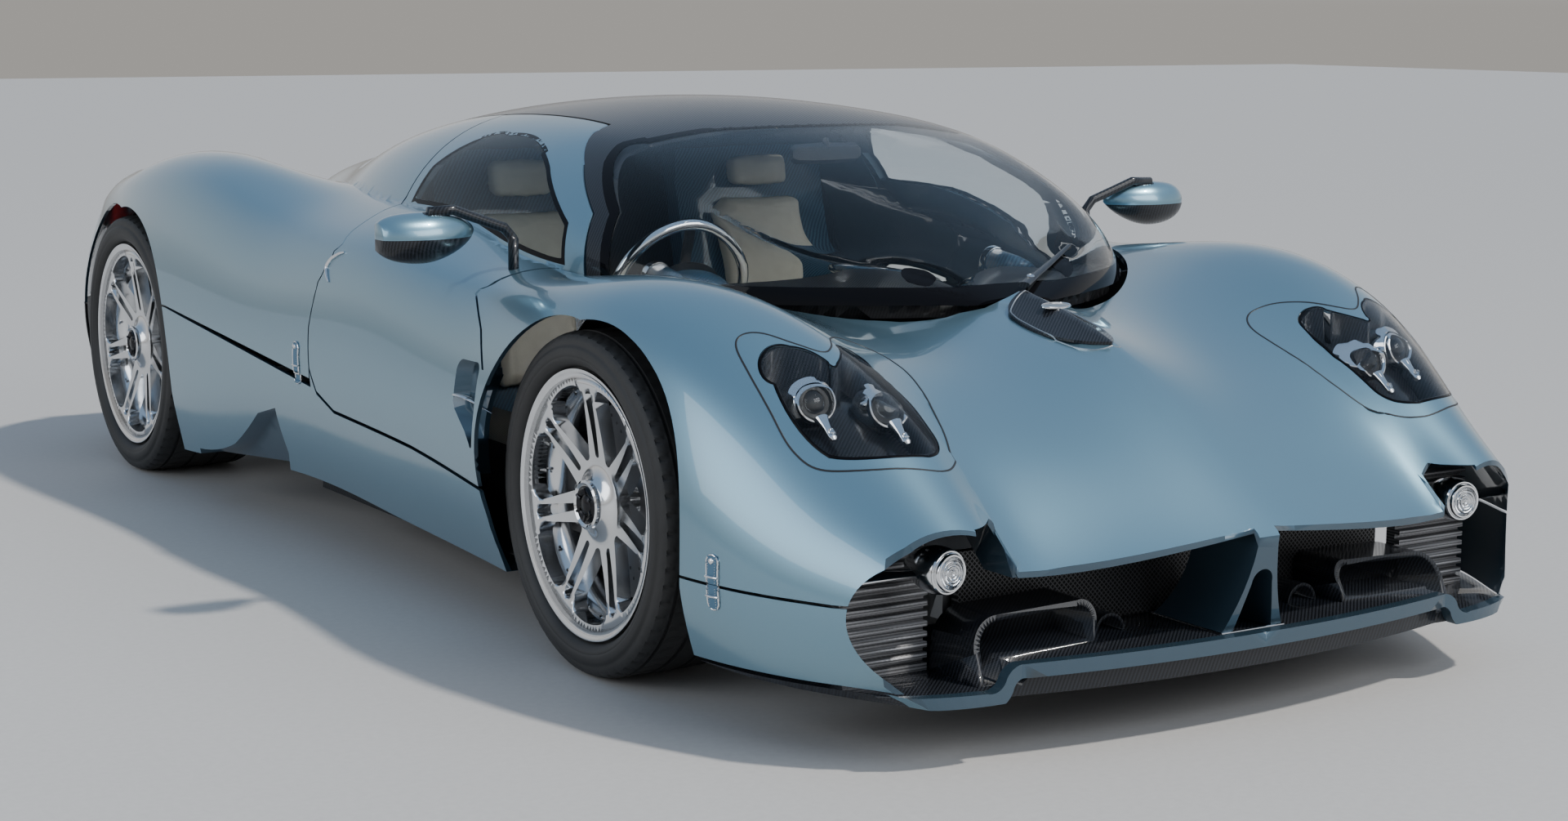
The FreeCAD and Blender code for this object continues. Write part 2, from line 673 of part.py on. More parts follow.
# Front bumper: the lower corners, joined by a lip along the splitter's front edge that steps
# down at the corner intakes
corner_floor = 143.0
bumper_side = [
    (nose - 50, corner_floor + 7), (nose - 50, bumper_line - gap),
    (front_axle - 300, bumper_line - gap), (front_axle - 300, corner_floor + 7)]
lip_front = [
    (-1, splitter_top + 4), (540, splitter_top + 1), (566, splitter_top - 6, "arc"), (580, 165),
    (592, 148, "arc"), (622, corner_floor), (780, corner_floor + 2), (830, 168, "arc"), (870, 225),
    (870, 150), (825, 126, "arc"), (750, 112), (622, 112), (584, 118, "arc"), (564, 142),
    (552, 158, "arc"), (532, 161), (-1, 162)]
lip_lead = 16.0
lip_depth = 26.0
lip = nose_trim.translated(V(0, -lip_lead, 0)).cut(nose_trim.translated(V(0, lip_depth - lip_lead, 0)))
lip = lip.common(front_prism(lip_front, nose - 50, along(-0.6))).common(body_solid(-1.5))
bumper = body_shell.common(side_prism(bumper_side, 560, WIDE)).common(nose_trim)
bumper = bumper.cut(front_arches)
bumper = fused([bumper, lip, mirrored(bumper), mirrored(lip)])
piece("front_bumper", solids_of(bumper))

# Splitter: the floor of the mouth, low in the corners, with an arched duct on each side
floor_plan = nose_trim.translated(V(0, lip_depth - lip_lead + 3 * seat_gap, 0)).common(outer_body)
floor_rear = front_axle - 480
splitter = floor_plan.common(box(-WIDE, WIDE, nose - 50, floor_rear, 0, corner_floor - seat_gap))
splitter = splitter.fuse(floor_plan.common(
    box(-550, 550, nose - 50, nose + 330, 100, splitter_top - seat_gap)))
duct_outer = [(318, 150), (312, 225), (318, 258, "arc"), (348, 266), (540, 262), (585, 244, "arc"),
              (606, 200), (612, 130), (560, 130)]
duct_inner = [(328, 192), (322, 226), (328, 249, "arc"), (350, 256), (538, 252), (574, 238, "arc"),
              (592, 200), (596, corner_floor + 2), (556, corner_floor + 2), (552, 192)]
duct_depth = side_prism([(nose + 100, 130), (nose + 152, 270), (nose + 262, 270), (nose + 262, 130)],
                        -WIDE, WIDE)
duct = front_prism(duct_outer, nose + 60, nose + 262).common(duct_depth)
duct_mouth = front_prism(duct_inner, nose + 50, nose + 240)
small_duct = rod(V(250, nose + 170, splitter_top), V(250, nose + 262, splitter_top), 38).cut(
    rod(V(250, nose + 160, splitter_top), V(250, nose + 250, splitter_top), 31)).common(
    box(0, 320, nose, nose + 400, splitter_top - 2, 400))
splitter = splitter.fuse(both(duct)).cut(both(duct_mouth)).fuse(both(small_duct))
piece("splitter", solids_of(splitter.removeSplitter()))

# Radiators: a ribbed core in each front corner and a mesh across the middle
core = box(615, 805, nose + 262, nose + 300, corner_floor, 395).common(body_solid(skin + 4))
rib_pitch = 20.0
for step in range(12):
    low = corner_floor + 14 + step * rib_pitch
    core = core.cut(box(600, 815, nose + 255, nose + 276, low, low + rib_pitch / 2))
middle_mesh = box(-545, 545, nose + 264, nose + 282, splitter_top, 360)
piece("radiators", compound([core, mirrored(core), middle_mesh]))

# Fog lamps: a bullet on a flat blade from the clamshell's corner
fog_centre = V(660, nose + 128, 359)
bullet = revolved([(0, 0), (0, 33), (6, 40), (34, 45, "arc"), (76, 34), (106, 18, "arc"), (122, 0)])
bullet.rotate(V(0, 0, 0), V(0, 0, 1), 82)
bullet.translate(fog_centre)
blade_y = fog_centre.y + 70
blade = side_prism([(blade_y - 34, 352), (blade_y, 361, "arc"), (blade_y + 34, 352),
                    (blade_y, 343, "arc")], 655, 890)
fog = fused([bullet, blade])
piece("fog_lamps", both(solids_of(fog.common(body_solid(skin + 1.0)))))

# Wheel-arch liners: half barrels over the tyres, inside the wings
LINER_ROWS = [
    (front_axle, size("front_tyre_radius"), 416, 610, 800),
    (rear_axle, size("rear_tyre_radius"), 404, 640, 880),
]
liners = []
for axle, height, radius, x_low, x_high in LINER_ROWS:
    barrel = cylinder_x(radius + 4, x_low, WIDE, axle, height).cut(
        cylinder_x(radius, x_low - 1, WIDE, axle, height))
    barrel = barrel.common(box(x_low, x_high, axle - 500, axle + radius - 40, height - 40, HIGH))
    liners.append(solids_of(barrel.common(body_solid(skin + 8))))
piece("arch_liners", both(compound(liners)))

# Rear clamshell: rear wings, engine cover and the cabin's tail
roof_rear = bulkhead + gap
clam_side = shifted(door_foot[:7], gap / 2) + [
    (door_rear + 66, 462), (along(0.82), 545), (rear_axle + 100, 545), (rear_axle + 200, 456),
    (tail + 50, 456), (tail + 50, HIGH)]
rear_clam = body_shell.common(side_prism(clam_side, -WIDE, WIDE)).common(tail_trim)
rear_clam = rear_clam.cut(outer_cabin)
ear_side = [
    (door_top_rear + gap / 2, HIGH), (door_top_rear + gap / 2, 700), (tail, 700), (tail, HIGH)]
ears = outer_cabin.cut(cabin_solid(skin)).common(side_prism(ear_side, -WIDE, WIDE))
ears = ears.cut(inner_body).cut(box(
    -roof_half - gap, roof_half + gap, door_rear - 50, roof_rear, 600, HIGH))
rear_clam = rear_clam.fuse(ears).cut(rear_arches)
TAIL_LAMP_X = 640.0
TAIL_LAMP_HOLE = 31.0
TAIL_LAMP_HEIGHTS = [600.0, 535.0, 470.0]
for z in TAIL_LAMP_HEIGHTS:
    lamp_hole = rod(V(TAIL_LAMP_X, tail - 200, z), V(TAIL_LAMP_X, tail + 50, z), TAIL_LAMP_HOLE)
    rear_clam = rear_clam.cut(both(lamp_hole))
for side in (-1, 1):
    bracket = box(side * HINGE_X - 7, side * HINGE_X + 7, tail - 90, tail, 452, 640)
    rear_clam = rear_clam.fuse(bracket.common(body_solid(skin - 2)))
    rear_clam = rear_clam.cut(cylinder_x(size("hinge_pin_radius") + seat_gap, side * HINGE_X - 30,
                                         side * HINGE_X + 30, rear_hinge_y, rear_hinge_z))
rear_clam = solids_of(rear_clam, 200000.0)
piece("rear_clam", rear_clam)

# Rear bumper: the tail's lower shell, the diffuser's fins and the grille over the whole tail
tail_side = [
    (rear_axle + 200, 60), (rear_axle + 200, 450), (tail + 50, 450), (tail + 50, 60)]
rear_bumper = body_shell.common(side_prism(tail_side, -WIDE, WIDE)).common(tail_trim)
rear_bumper = rear_bumper.cut(rear_arches)
PIPE_PLACES = [(-56, 500), (56, 500), (-56, 388), (56, 388)]
grille_y = tail - 64
grille = body_solid(skin + 8).common(box(-575, 575, grille_y, grille_y + 8, 420, HIGH))
grille = grille.fuse(body_solid(skin + seat_gap).common(
    box(-575, 575, grille_y, grille_y + 8, 200, 430)))
for x, z in PIPE_PLACES:
    grille = grille.cut(rod(V(x, grille_y - 1, z), V(x, grille_y + 9, z), size("pipe_radius") + 8))
for side in (-1, 1):
    grille = grille.cut(box(side * HINGE_X - 14, side * HINGE_X + 14, grille_y - 1, grille_y + 9,
                            rear_hinge_z - 70, HIGH))
    grille = grille.cut(box(side * (HINGE_X - 45) - 20, side * (HINGE_X - 45) + 20, grille_y - 1,
                            grille_y + 9, 380, rear_hinge_z + 12))
fin_side = [(tail - 420, 222), (tail - 30, 150), (tail - 30, 262), (tail - 420, 262)]
fins = [side_prism(fin_side, x - 4, x + 4).cut(body_solid(skin / 2)) for x in (-300, -120, 120, 300)]
rear_bumper = fused([rear_bumper] + fins)
piece("rear_bumper", compound([rear_bumper, solids_of(grille, 100000.0)]))

# Rear wing bar between the rear wings
bar = [(along(1.73), 752), (along(1.79), 775, "arc"), (along(1.92), 762), (along(1.80), 752, "arc")]
wing_bar = side_prism(bar, -590, 590)
strut = box(-15, 15, along(1.80), along(1.86), 690, 756)
piece("rear_wing", fused([wing_bar, mirrored(strut), strut]).cut(body_solid(-0.3)))

# Tail lamps: three round lamps down each side
tail_lamps = []
for z in TAIL_LAMP_HEIGHTS:
    tail_lamps.append(rod(V(TAIL_LAMP_X, tail - 70, z), V(TAIL_LAMP_X, tail - 25, z),
                          TAIL_LAMP_HOLE - seat_gap))
piece("tail_lamps", both(compound(tail_lamps)))

# Exhaust: four pipes in the middle of the tail
pipe_radius = size("pipe_radius")
pipes = []
for x, z in PIPE_PLACES:
    outer_pipe = rod(V(x, tail - 209, z), V(x, tail - 20, z), pipe_radius)
    pipes.append(outer_pipe.cut(rod(V(x, tail - 180, z), V(x, tail, z), pipe_radius - size("pipe_wall"))))
muffler = box(-260, 260, tail - 480, tail - 209, 290 + seat_gap, 580)
piece("exhaust", fused([muffler] + pipes))

# Seats: carbon shells on the floor with pads
SEAT_X = 360.0
seat_profile = [
    (-420, floor_top + seat_gap), (-440, 300), (-80, 235), (0, 240, "arc"), (40, 300), (150, 720),
    (190, 1000), (250, 985), (215, 715), (130, floor_top + seat_gap)]
seat = side_prism(seat_profile, SEAT_X - 230, SEAT_X + 230)
seat = seat.cut(box(SEAT_X - 190, SEAT_X + 190, -400, -60, floor_top + 30, 265))
piece("seats", both(solids_of(seat)))
pads = []
pad_cushion = side_prism(
    [(-410, 285), (-405, 345), (-120, 300), (-85, 228)], SEAT_X - 190, SEAT_X + 190)
pad_back = side_prism([(60, 380), (20, 395), (105, 850), (180, 850)], SEAT_X - 130, SEAT_X + 130)
pad_head = side_prism([(185, 880), (105, 880), (118, 975), (210, 975)], SEAT_X - 90, SEAT_X + 90)
for pad in (pad_cushion, pad_back, pad_head):
    pads.append(pad.cut(seat))
piece("seat_pads", both(compound(pads)))

# Dashboard with four air ducts, and the steering wheel on its column
dash_front = along(0.148) + seat_gap
dash = side_prism([
    (dash_front, 560), (dash_front, 706), (along(0.17), 712), (along(0.20), 690),
    (along(0.215), 620), (along(0.20), 560)], -590, 590)
piece("dashboard", dash)
ducts = []
for x in (-450, 60, 150, 520):
    start = V(x, along(0.17), 690)
    knee = V(x, along(0.17) + 5, 745)
    ducts.append(fused([rod(start, knee, 32), Part.makeSphere(32, knee),
                        rod(knee, knee + V(0, 75, 12), 32)]).cut(dash))
piece("dash_ducts", compound(ducts))
rim_centre = V(-371, along(0.208), 712)
lean = 22.0
steering = Part.makeTorus(size("wheel_rim_radius"), 13, V(0, 0, 0), V(0, 0, 1))
spokes = [Part.makeBox(size("wheel_rim_radius") * 2 - 10, 26, 8, V(-size("wheel_rim_radius") + 5, -13, -4))]
spokes.append(Part.makeBox(24, size("wheel_rim_radius") - 5, 8, V(-12, -size("wheel_rim_radius") + 5, -4)))
hub = Part.makeCylinder(42, 60, V(0, 0, -52))
steering = fused([steering, hub] + spokes)
steering.rotate(V(0, 0, 0), V(1, 0, 0), -(90 - lean))
steering.translate(rim_centre)
piece("steering_wheel", steering.cut(dash))

# Wiper
wiper = rod(V(20, along(-0.225), 770), V(290, along(-0.05), 838), 7)
piece("wiper", wiper.cut(cabin_solid(-0.6)).cut(body_solid(-0.6)))


def wheel_window(points, lip_out, grow):
    """Tapered prism that cuts one window into the dish; points are (across the spoke, radius)."""
    wires = []
    for x, reach in ((lip_out - 130, 0.0), (lip_out + 10, grow)):
        centre = sum(p[1] for p in points) / len(points)
        wire = []
        for point in points:
            y = point[0] + math.copysign(reach, point[0]) if point[0] else 0.0
            z = point[1] + math.copysign(reach, point[1] - centre)
            wire.append((y, z) + point[2:])
        wires.append(outline_face(wire, lambda p: V(x, p[0], p[1])).OuterWire)
    return Part.makeLoft(wires, True, True)


def wheel_parts(radius, rim_radius, width, face, disc_radius):
    """Tyre and wheel of the left side: the wheel has its rim, spokes, hub and brake disc."""
    lip_out = face - 15
    lip_in = face - width + 15
    bead_seat = rim_radius - 12
    outline = [
        (lip_in, rim_radius), (lip_in + 12, rim_radius), (lip_in + 14, bead_seat),
        (lip_in + 60, bead_seat), (lip_in + 80, bead_seat - 22), (lip_out - 80, bead_seat - 22),
        (lip_out - 55, bead_seat), (lip_out - 14, bead_seat), (lip_out - 12, rim_radius),
        (lip_out, rim_radius), (lip_out, rim_radius - 8), (lip_out - 16, bead_seat - 9),
        (lip_out - 58, bead_seat - 10), (lip_out - 82, bead_seat - 32),
        (lip_in + 82, bead_seat - 32), (lip_in + 58, bead_seat - 10), (lip_in + 14, bead_seat - 9),
        (lip_in, rim_radius - 8)]
    barrel = revolved(outline)
    hub_radius = size("hub_radius")
    disc_face = face - width * 0.5 - 12
    # Concave dish from the rim's lip in to the hub
    dish_edge = bead_seat - 9
    dish = revolved([
        (lip_out - 62, 25), (lip_out - 62, 118), (lip_out - 54, 190, "arc"),
        (lip_out - 42, dish_edge + 2), (lip_out - 10, dish_edge + 2), (lip_out - 12, dish_edge - 16),
        (lip_out - 26, 170, "arc"), (lip_out - 38, hub_radius + 22),
        (lip_out - 30, hub_radius, "arc"), (lip_out - 16, hub_radius - 14), (lip_out - 14, 25)])
    count = int(round(size("spoke_pairs")))
    outer = dish_edge - 16
    half = outer * math.tan(math.pi / count)
    big = [(-8, 108), (0, 98, "arc"), (8, 108), (half - 52, outer - 48),
           (half - 52, outer - 26, "arc"), (half - 72, outer - 8), (0, outer, "arc"),
           (72 - half, outer - 8), (52 - half, outer - 26, "arc"), (52 - half, outer - 48)]
    slim = [(-4, 104), (0, 99, "arc"), (4, 104), (10, outer - 22), (0, outer - 10, "arc"),
            (-10, outer - 22)]
    big_window = wheel_window(big, lip_out, 7.0)
    slim_window = wheel_window(slim, lip_out, 5.0)
    windows = []
    for index in range(count):
        turn = 360.0 * index / count
        for window, angle in ((slim_window, turn), (big_window, turn + 180.0 / count)):
            turned = window.copy()
            turned.rotate(V(0, 0, 0), V(1, 0, 0), angle)
            windows.append(turned)
    dish = dish.cut(windows)
    sleeve = cylinder_x(size("stub_radius") + 14, disc_face, lip_out - 55, 0, 0)
    half_disc = size("disc_thickness") / 2
    disc = cylinder_x(disc_radius, disc_face - half_disc, disc_face + half_disc, 0, 0)
    disc = disc.cut(cylinder_x(disc_radius * 0.62, disc_face - half_disc - 1, disc_face + 4, 0, 0))
    bore = cylinder_x(size("stub_radius") + size("running_gap"), 0, lip_out - 30, 0, 0)
    cap = cylinder_x(hub_radius - 22, lip_out - 30, lip_out - 8, 0, 0)
    wheel = fused([barrel, dish, sleeve, disc, cap]).cut(bore)
    bead = bead_seat + seat_gap
    face_in = face - width
    shoulder = 26
    belly = (rim_radius + radius) / 2
    tyre = revolved([
        (lip_in + 14.5, bead), (lip_in + 14.5, rim_radius + 3), (face_in + 2, belly, "arc"),
        (face_in + 8, radius - shoulder), (face_in + 16, radius - 8, "arc"), (face_in + 40, radius - 2),
        (face_in + width / 2, radius, "arc"), (face - 40, radius - 2), (face - 16, radius - 8, "arc"),
        (face - 8, radius - shoulder), (face - 2, belly, "arc"),
        (lip_out - 14.5, rim_radius + 3), (lip_out - 14.5, bead)])
    return tyre, wheel


stub_radius = size("stub_radius")
wheel_sizes = {
    "front": (front_axle, "front_tyre_radius", "front_rim_radius", "front_tyre_width",
              "front_tyre_face", "front_disc_radius"),
    "rear": (rear_axle, "rear_tyre_radius", "rear_rim_radius", "rear_tyre_width",
             "rear_tyre_face", "rear_disc_radius"),
}
for end, (axle, radius, rim_radius, width, face, disc_radius) in wheel_sizes.items():
    tyre, wheel = wheel_parts(size(radius), size(rim_radius), size(width), size(face),
                              size(disc_radius))
    for shape, name in ((tyre, "tyre"), (wheel, "wheel")):
        centre = V(0, axle, size(radius))
        piece(f"{name}_{end}_left", shape, centre)
        piece(f"{name}_{end}_right", mirrored(shape), centre)


PLATE_REACH = 165.0
KINGPIN_RADIUS = 14.0


def upright(end):
    """Upright with its stub axle and brake calliper, left side."""
    axle, radius, rim_radius, width, face, disc_radius = wheel_sizes[end]
    y = axle
    z = size(radius)
    disc_face = size(face) - size(width) * 0.5 - 12
    half_disc = size("disc_thickness") / 2
    inner = disc_face - half_disc - 62
    plate = box(inner, disc_face - half_disc - 6, y - 62, y + 62, z - PLATE_REACH, z + PLATE_REACH)
    stub = cylinder_x(stub_radius, disc_face - half_disc - 7, size(face) - 47, y, z)
    disc_reach = size(disc_radius)
    caliper = box(disc_face - half_disc - 40, disc_face + half_disc + 30, y + disc_reach * 0.62,
                  y + disc_reach + 24, z - 95, z + 95)
    caliper = caliper.common(cylinder_x(size(rim_radius) - 60, 0, WIDE, y, z))
    slot = cylinder_x(disc_reach + 6, disc_face - half_disc - 5, disc_face + half_disc + 5, y, z)
    bracket = box(disc_face - half_disc - 40, disc_face - half_disc - 6, y + 30,
                  y + disc_reach * 0.7, z - 60, z + 60)
    return fused([plate, stub, caliper.cut(slot), bracket]), inner


knuckle, knuckle_inner = upright("front")
kingpin_x = knuckle_inner + 28
axle_height = size("front_tyre_radius")
pin_sink = 35.0
pin_holes = [
    Part.makeCylinder(KINGPIN_RADIUS + 2 * seat_gap, pin_sink + 5,
                      V(kingpin_x, front_axle, axle_height - PLATE_REACH - 5)),
    Part.makeCylinder(KINGPIN_RADIUS + 2 * seat_gap, pin_sink + 5,
                      V(kingpin_x, front_axle, axle_height + PLATE_REACH - pin_sink)),
]
knuckle = knuckle.cut(pin_holes)
piece("knuckle_left", knuckle)
piece("knuckle_right", mirrored(knuckle))

# Suspension: the front arms with their kingpins, the rear uprights with theirs
ARM_ROWS = [(-205, -100), (205, 115)]
pin_length = 205 - PLATE_REACH + pin_sink - 1
front_sets = []
for height, inner_height in ARM_ROWS:
    ball = V(kingpin_x, front_axle, axle_height + height)
    shapes = [Part.makeSphere(20, ball)]
    for side in (-1, 1):
        pivot = V(350, front_axle + side * 150, axle_height + inner_height)
        shapes.append(rod(pivot, ball, 12))
    pin_foot = ball if height < 0 else ball - V(0, 0, pin_length)
    shapes.append(Part.makeCylinder(KINGPIN_RADIUS, pin_length, pin_foot))
    front_sets.append(fused(shapes).cut(front_frame))

rear_upright, rear_inner = upright("rear")
rear_height = size("rear_tyre_radius")
rear_arms = [rear_upright]
for height, inner_height in ((-150, -110), (150, 60)):
    for side in (-1, 1):
        pivot = V(rail_reach + 20, rear_axle + side * 160, rear_height + inner_height)
        rear_arms.append(rod(pivot, V(rear_inner + 10, rear_axle + side * 20, rear_height + height), 13))
rear_arms.append(cylinder_x(20, rail_reach - 60, rear_inner + 5, rear_axle, rear_height))
rear_set = fused(rear_arms).cut(box(
    -rail_reach - 20, rail_reach + 20, nose, tail, 0, HIGH))
piece("suspension", both(compound(front_sets + [rear_set])))

doc.recompute()
bad = []
for item in doc.Objects:
    if item.TypeId == "Spreadsheet::Sheet":
        continue
    if "Invalid" in item.State or "Error" in item.State or item.Shape.isNull() or not item.Shape.isValid():
        bad.append(item.Label)
    print(item.Label, len(item.Shape.Solids), item.Shape.isValid(), round(item.Shape.Volume / 1e6, 2))
if bad:
    raise RuntimeError("bad pieces: " + ", ".join(bad))
for item in doc.Objects:
    if item.TypeId != "Spreadsheet::Sheet":
        item.Shape.exportStep(f"parts/{item.Label}.step")
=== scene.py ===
"""Looks of a low two-seat sports car: paint, weave, glass, wheels, lamps and cabin round the frame."""
import json
import math

import bmesh
import bpy
import numpy as np
from mathutils import Matrix, Vector
from mathutils.bvhtree import BVHTree
from mathutils.geometry import barycentric_transform
from mathutils.kdtree import KDTree

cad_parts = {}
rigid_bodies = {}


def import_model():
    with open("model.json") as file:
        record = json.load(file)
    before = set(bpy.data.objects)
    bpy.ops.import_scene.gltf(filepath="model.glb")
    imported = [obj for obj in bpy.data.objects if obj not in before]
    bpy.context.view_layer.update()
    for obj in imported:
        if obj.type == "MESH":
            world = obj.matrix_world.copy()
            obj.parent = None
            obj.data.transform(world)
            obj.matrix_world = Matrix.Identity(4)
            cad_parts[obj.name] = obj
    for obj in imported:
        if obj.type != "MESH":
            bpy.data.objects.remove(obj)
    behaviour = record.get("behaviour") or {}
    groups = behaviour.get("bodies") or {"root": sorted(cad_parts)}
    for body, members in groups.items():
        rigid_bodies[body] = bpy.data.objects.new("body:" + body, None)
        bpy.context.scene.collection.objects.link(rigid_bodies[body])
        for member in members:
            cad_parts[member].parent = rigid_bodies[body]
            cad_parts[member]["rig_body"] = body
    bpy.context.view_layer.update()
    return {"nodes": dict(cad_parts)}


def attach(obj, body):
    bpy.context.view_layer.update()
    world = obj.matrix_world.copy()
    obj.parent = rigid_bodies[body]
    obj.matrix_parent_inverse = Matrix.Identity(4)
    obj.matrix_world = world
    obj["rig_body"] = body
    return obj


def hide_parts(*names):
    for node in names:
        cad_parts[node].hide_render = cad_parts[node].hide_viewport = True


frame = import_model()
MM = 0.001

# Places along the car, in millimetres
NOSE = -2302.5
FRONT_AXLE = -1270.0
REAR_AXLE = 1525.0
FRONT_OVERHANG = 1032.5
WHEELBASE = 2795.0
REAR_OVERHANG = 777.5
SIDES = (("left", 1), ("right", -1))


def along(share):
    """Place along the car: -1 nose, 0 front axle, 1 rear axle, 2 tail."""
    if share < 0:
        return FRONT_AXLE + share * FRONT_OVERHANG
    if share > 1:
        return REAR_AXLE + (share - 1) * REAR_OVERHANG
    return FRONT_AXLE + share * WHEELBASE


# Lines of the body. Columns: place along the car; height of the middle line; then across from
# the middle and up: valley, inner foot of the wing, crown, shoulder, widest line, lower edge.
BODY_LINES = [
    (-1.06, 335, 360, 318, 545, 290, 640, 350, 715, 300, 770, 220, 700, 120),
    (-0.90, 455, 370, 402, 545, 380, 672, 462, 765, 412, 825, 290, 740, 122),
    (-0.75, 562, 380, 512, 540, 512, 680, 574, 812, 492, 895, 330, 840, 128),
    (-0.55, 682, 400, 620, 560, 648, 715, 706, 885, 605, 965, 400, 925, 138),
    (-0.30, 757, 440, 700, 620, 765, 755, 806, 930, 715, 1000, 470, 958, 148),
    (0.00, 800, 450, 735, 640, 785, 785, 827, 955, 745, 1013, 500, 955, 148),
    (0.15, 815, 500, 760, 670, 778, 800, 790, 935, 745, 985, 590, 925, 150),
    (0.35, 862, 500, 850, 700, 868, 825, 845, 945, 778, 985, 600, 920, 168),
    (0.60, 895, 460, 890, 660, 885, 820, 862, 945, 800, 1000, 600, 935, 178),
    (0.80, 865, 430, 845, 650, 895, 820, 948, 965, 860, 1018, 600, 975, 140),
    (1.00, 800, 420, 765, 650, 855, 800, 917, 960, 830, 1018, 560, 965, 150),
    (1.30, 765, 420, 725, 635, 825, 775, 883, 930, 795, 992, 560, 945, 170),
    (1.60, 735, 420, 695, 620, 775, 745, 826, 880, 740, 943, 540, 900, 190),
    (1.85, 690, 420, 650, 600, 690, 700, 712, 815, 620, 872, 480, 840, 220),
    (2.02, 600, 420, 560, 570, 560, 665, 572, 760, 490, 805, 400, 770, 240),
]
# Lines of the cabin. Columns: place along the car; then across and up: foot, waist, rail;
# height of the roof.
CABIN_LINES = [
    (-0.215, 120, 700, 110, 735, 80, 752, 758),
    (0.00, 470, 700, 455, 775, 330, 842, 878),
    (0.10, 665, 700, 650, 805, 470, 945, 1003),
    (0.20, 735, 700, 708, 850, 505, 1040, 1090),
    (0.35, 765, 700, 712, 910, 475, 1095, 1143),
    (0.50, 760, 700, 695, 925, 450, 1088, 1134),
    (0.65, 705, 700, 630, 915, 400, 1040, 1088),
    (0.80, 600, 700, 525, 860, 335, 955, 1008),
    (1.00, 460, 660, 400, 780, 260, 868, 900),
    (1.40, 350, 600, 305, 705, 200, 755, 782),
    (1.75, 260, 560, 230, 620, 150, 650, 668),
]


# Smooth surfaces of the body


def spline(t, points, wanted):
    """Cubic spline through points at t, read at the wanted places."""
    n = len(t)
    h = np.diff(t)
    flat = points.reshape(n, -1)
    a = np.zeros((n, n))
    b = np.zeros_like(flat)
    for i in range(1, n - 1):
        a[i, i - 1:i + 2] = h[i - 1], 2 * (h[i - 1] + h[i]), h[i]
        b[i] = 6 * ((flat[i + 1] - flat[i]) / h[i] - (flat[i] - flat[i - 1]) / h[i - 1])
    a[0, :3] = h[1], -(h[0] + h[1]), h[0]
    a[-1, -3:] = h[-1], -(h[-2] + h[-1]), h[-2]
    m = np.linalg.solve(a, b)
    i = np.clip(np.searchsorted(t, wanted, side="right") - 1, 0, n - 2)
    d = (wanted - t[i])[:, None]
    e = (t[i + 1] - wanted)[:, None]
    hi = h[i][:, None]
    value = (m[i] * e ** 3 + m[i + 1] * d ** 3) / (6 * hi)
    value += (flat[i] / hi - m[i] * hi / 6) * e + (flat[i + 1] / hi - m[i + 1] * hi / 6) * d
    return value.reshape((len(wanted),) + points.shape[1:])


def arc_points(a, b, c, count):
    """Points along the arc from a through b to c."""
    a, b, c = (np.array(p, float) for p in (a, b, c))
    d = 2 * (a[0] * (b[1] - c[1]) + b[0] * (c[1] - a[1]) + c[0] * (a[1] - b[1]))
    if abs(d) < 1e-6:
        return a + (c - a) * np.linspace(0, 1, count)[:, None]
    sa, sb, sc = (p @ p for p in (a, b, c))
    centre = np.array([sa * (b[1] - c[1]) + sb * (c[1] - a[1]) + sc * (a[1] - b[1]),
                       sa * (c[0] - b[0]) + sb * (a[0] - c[0]) + sc * (b[0] - a[0])]) / d
    radius = np.linalg.norm(a - centre)
    start = math.atan2(*(a - centre)[::-1])
    end = math.atan2(*(c - centre)[::-1])
    turn = 1 if (b - a)[0] * (c - a)[1] - (b - a)[1] * (c - a)[0] > 0 else -1
    while turn * (end - start) < 0:
        end += turn * 2 * math.pi
    t = np.linspace(start, end, count)
    return centre + radius * np.stack([np.cos(t), np.sin(t)], 1)


def blur(grid, axis, times):
    """Softens a grid along one axis and keeps its two ends."""
    grid = np.moveaxis(grid.copy(), axis, 0)
    for _ in range(times):
        grid[1:-1] = 0.25 * grid[:-2] + 0.5 * grid[1:-1] + 0.25 * grid[2:]
    return np.moveaxis(grid, 0, axis)


def smooth_surface(rows, edges_of, stations, count, softness):
    """A dense surface through the sections, its creases softened, as (points, normals) grids."""
    y = np.array([along(row[0]) for row in rows])
    halves = []
    for row in rows:
        parts = [arc_points(*edge, count) for edge in edges_of(row)]
        half = np.concatenate([parts[0]] + [part[1:] for part in parts[1:]])
        halves.append(half)
    halves = np.array(halves)
    place = np.broadcast_to(y[:, None, None], halves.shape[:2] + (1,))
    grid = np.concatenate([halves, place], 2)
    t = np.r_[0, np.cumsum(np.linalg.norm(np.diff(grid, axis=0), axis=2).mean(1))]
    grid = spline(t, grid, np.linspace(t[0], t[-1], stations))
    grid = np.concatenate([grid[:, :0:-1] * np.array([-1, 1, 1]), grid], 1)
    grid = blur(grid, 1, softness)
    grid = grid[..., [0, 2, 1]] * MM
    normals = np.cross(np.gradient(grid, axis=1), np.gradient(grid, axis=0))
    normals /= np.linalg.norm(normals, axis=2, keepdims=True)
    up = normals[:, normals.shape[1] // 2, 2]
    if up.mean() < 0:
        normals = -normals
    return grid, normals


def body_edges(row):
    middle = (0.0, row[1])
    valley, inner, crown, shoulder, widest, low = [
        (row[i], row[i + 1]) for i in range(2, 14, 2)]
    return (middle, valley, inner), (inner, crown, shoulder), (shoulder, widest, low)


def cabin_edges(row):
    foot, waist, rail = [(row[i], row[i + 1]) for i in range(1, 7, 2)]
    return (((0.0, row[7]), ((0.6 * rail[0]), row[7] - (row[7] - rail[1]) * 0.36), rail),
            (rail, waist, foot))


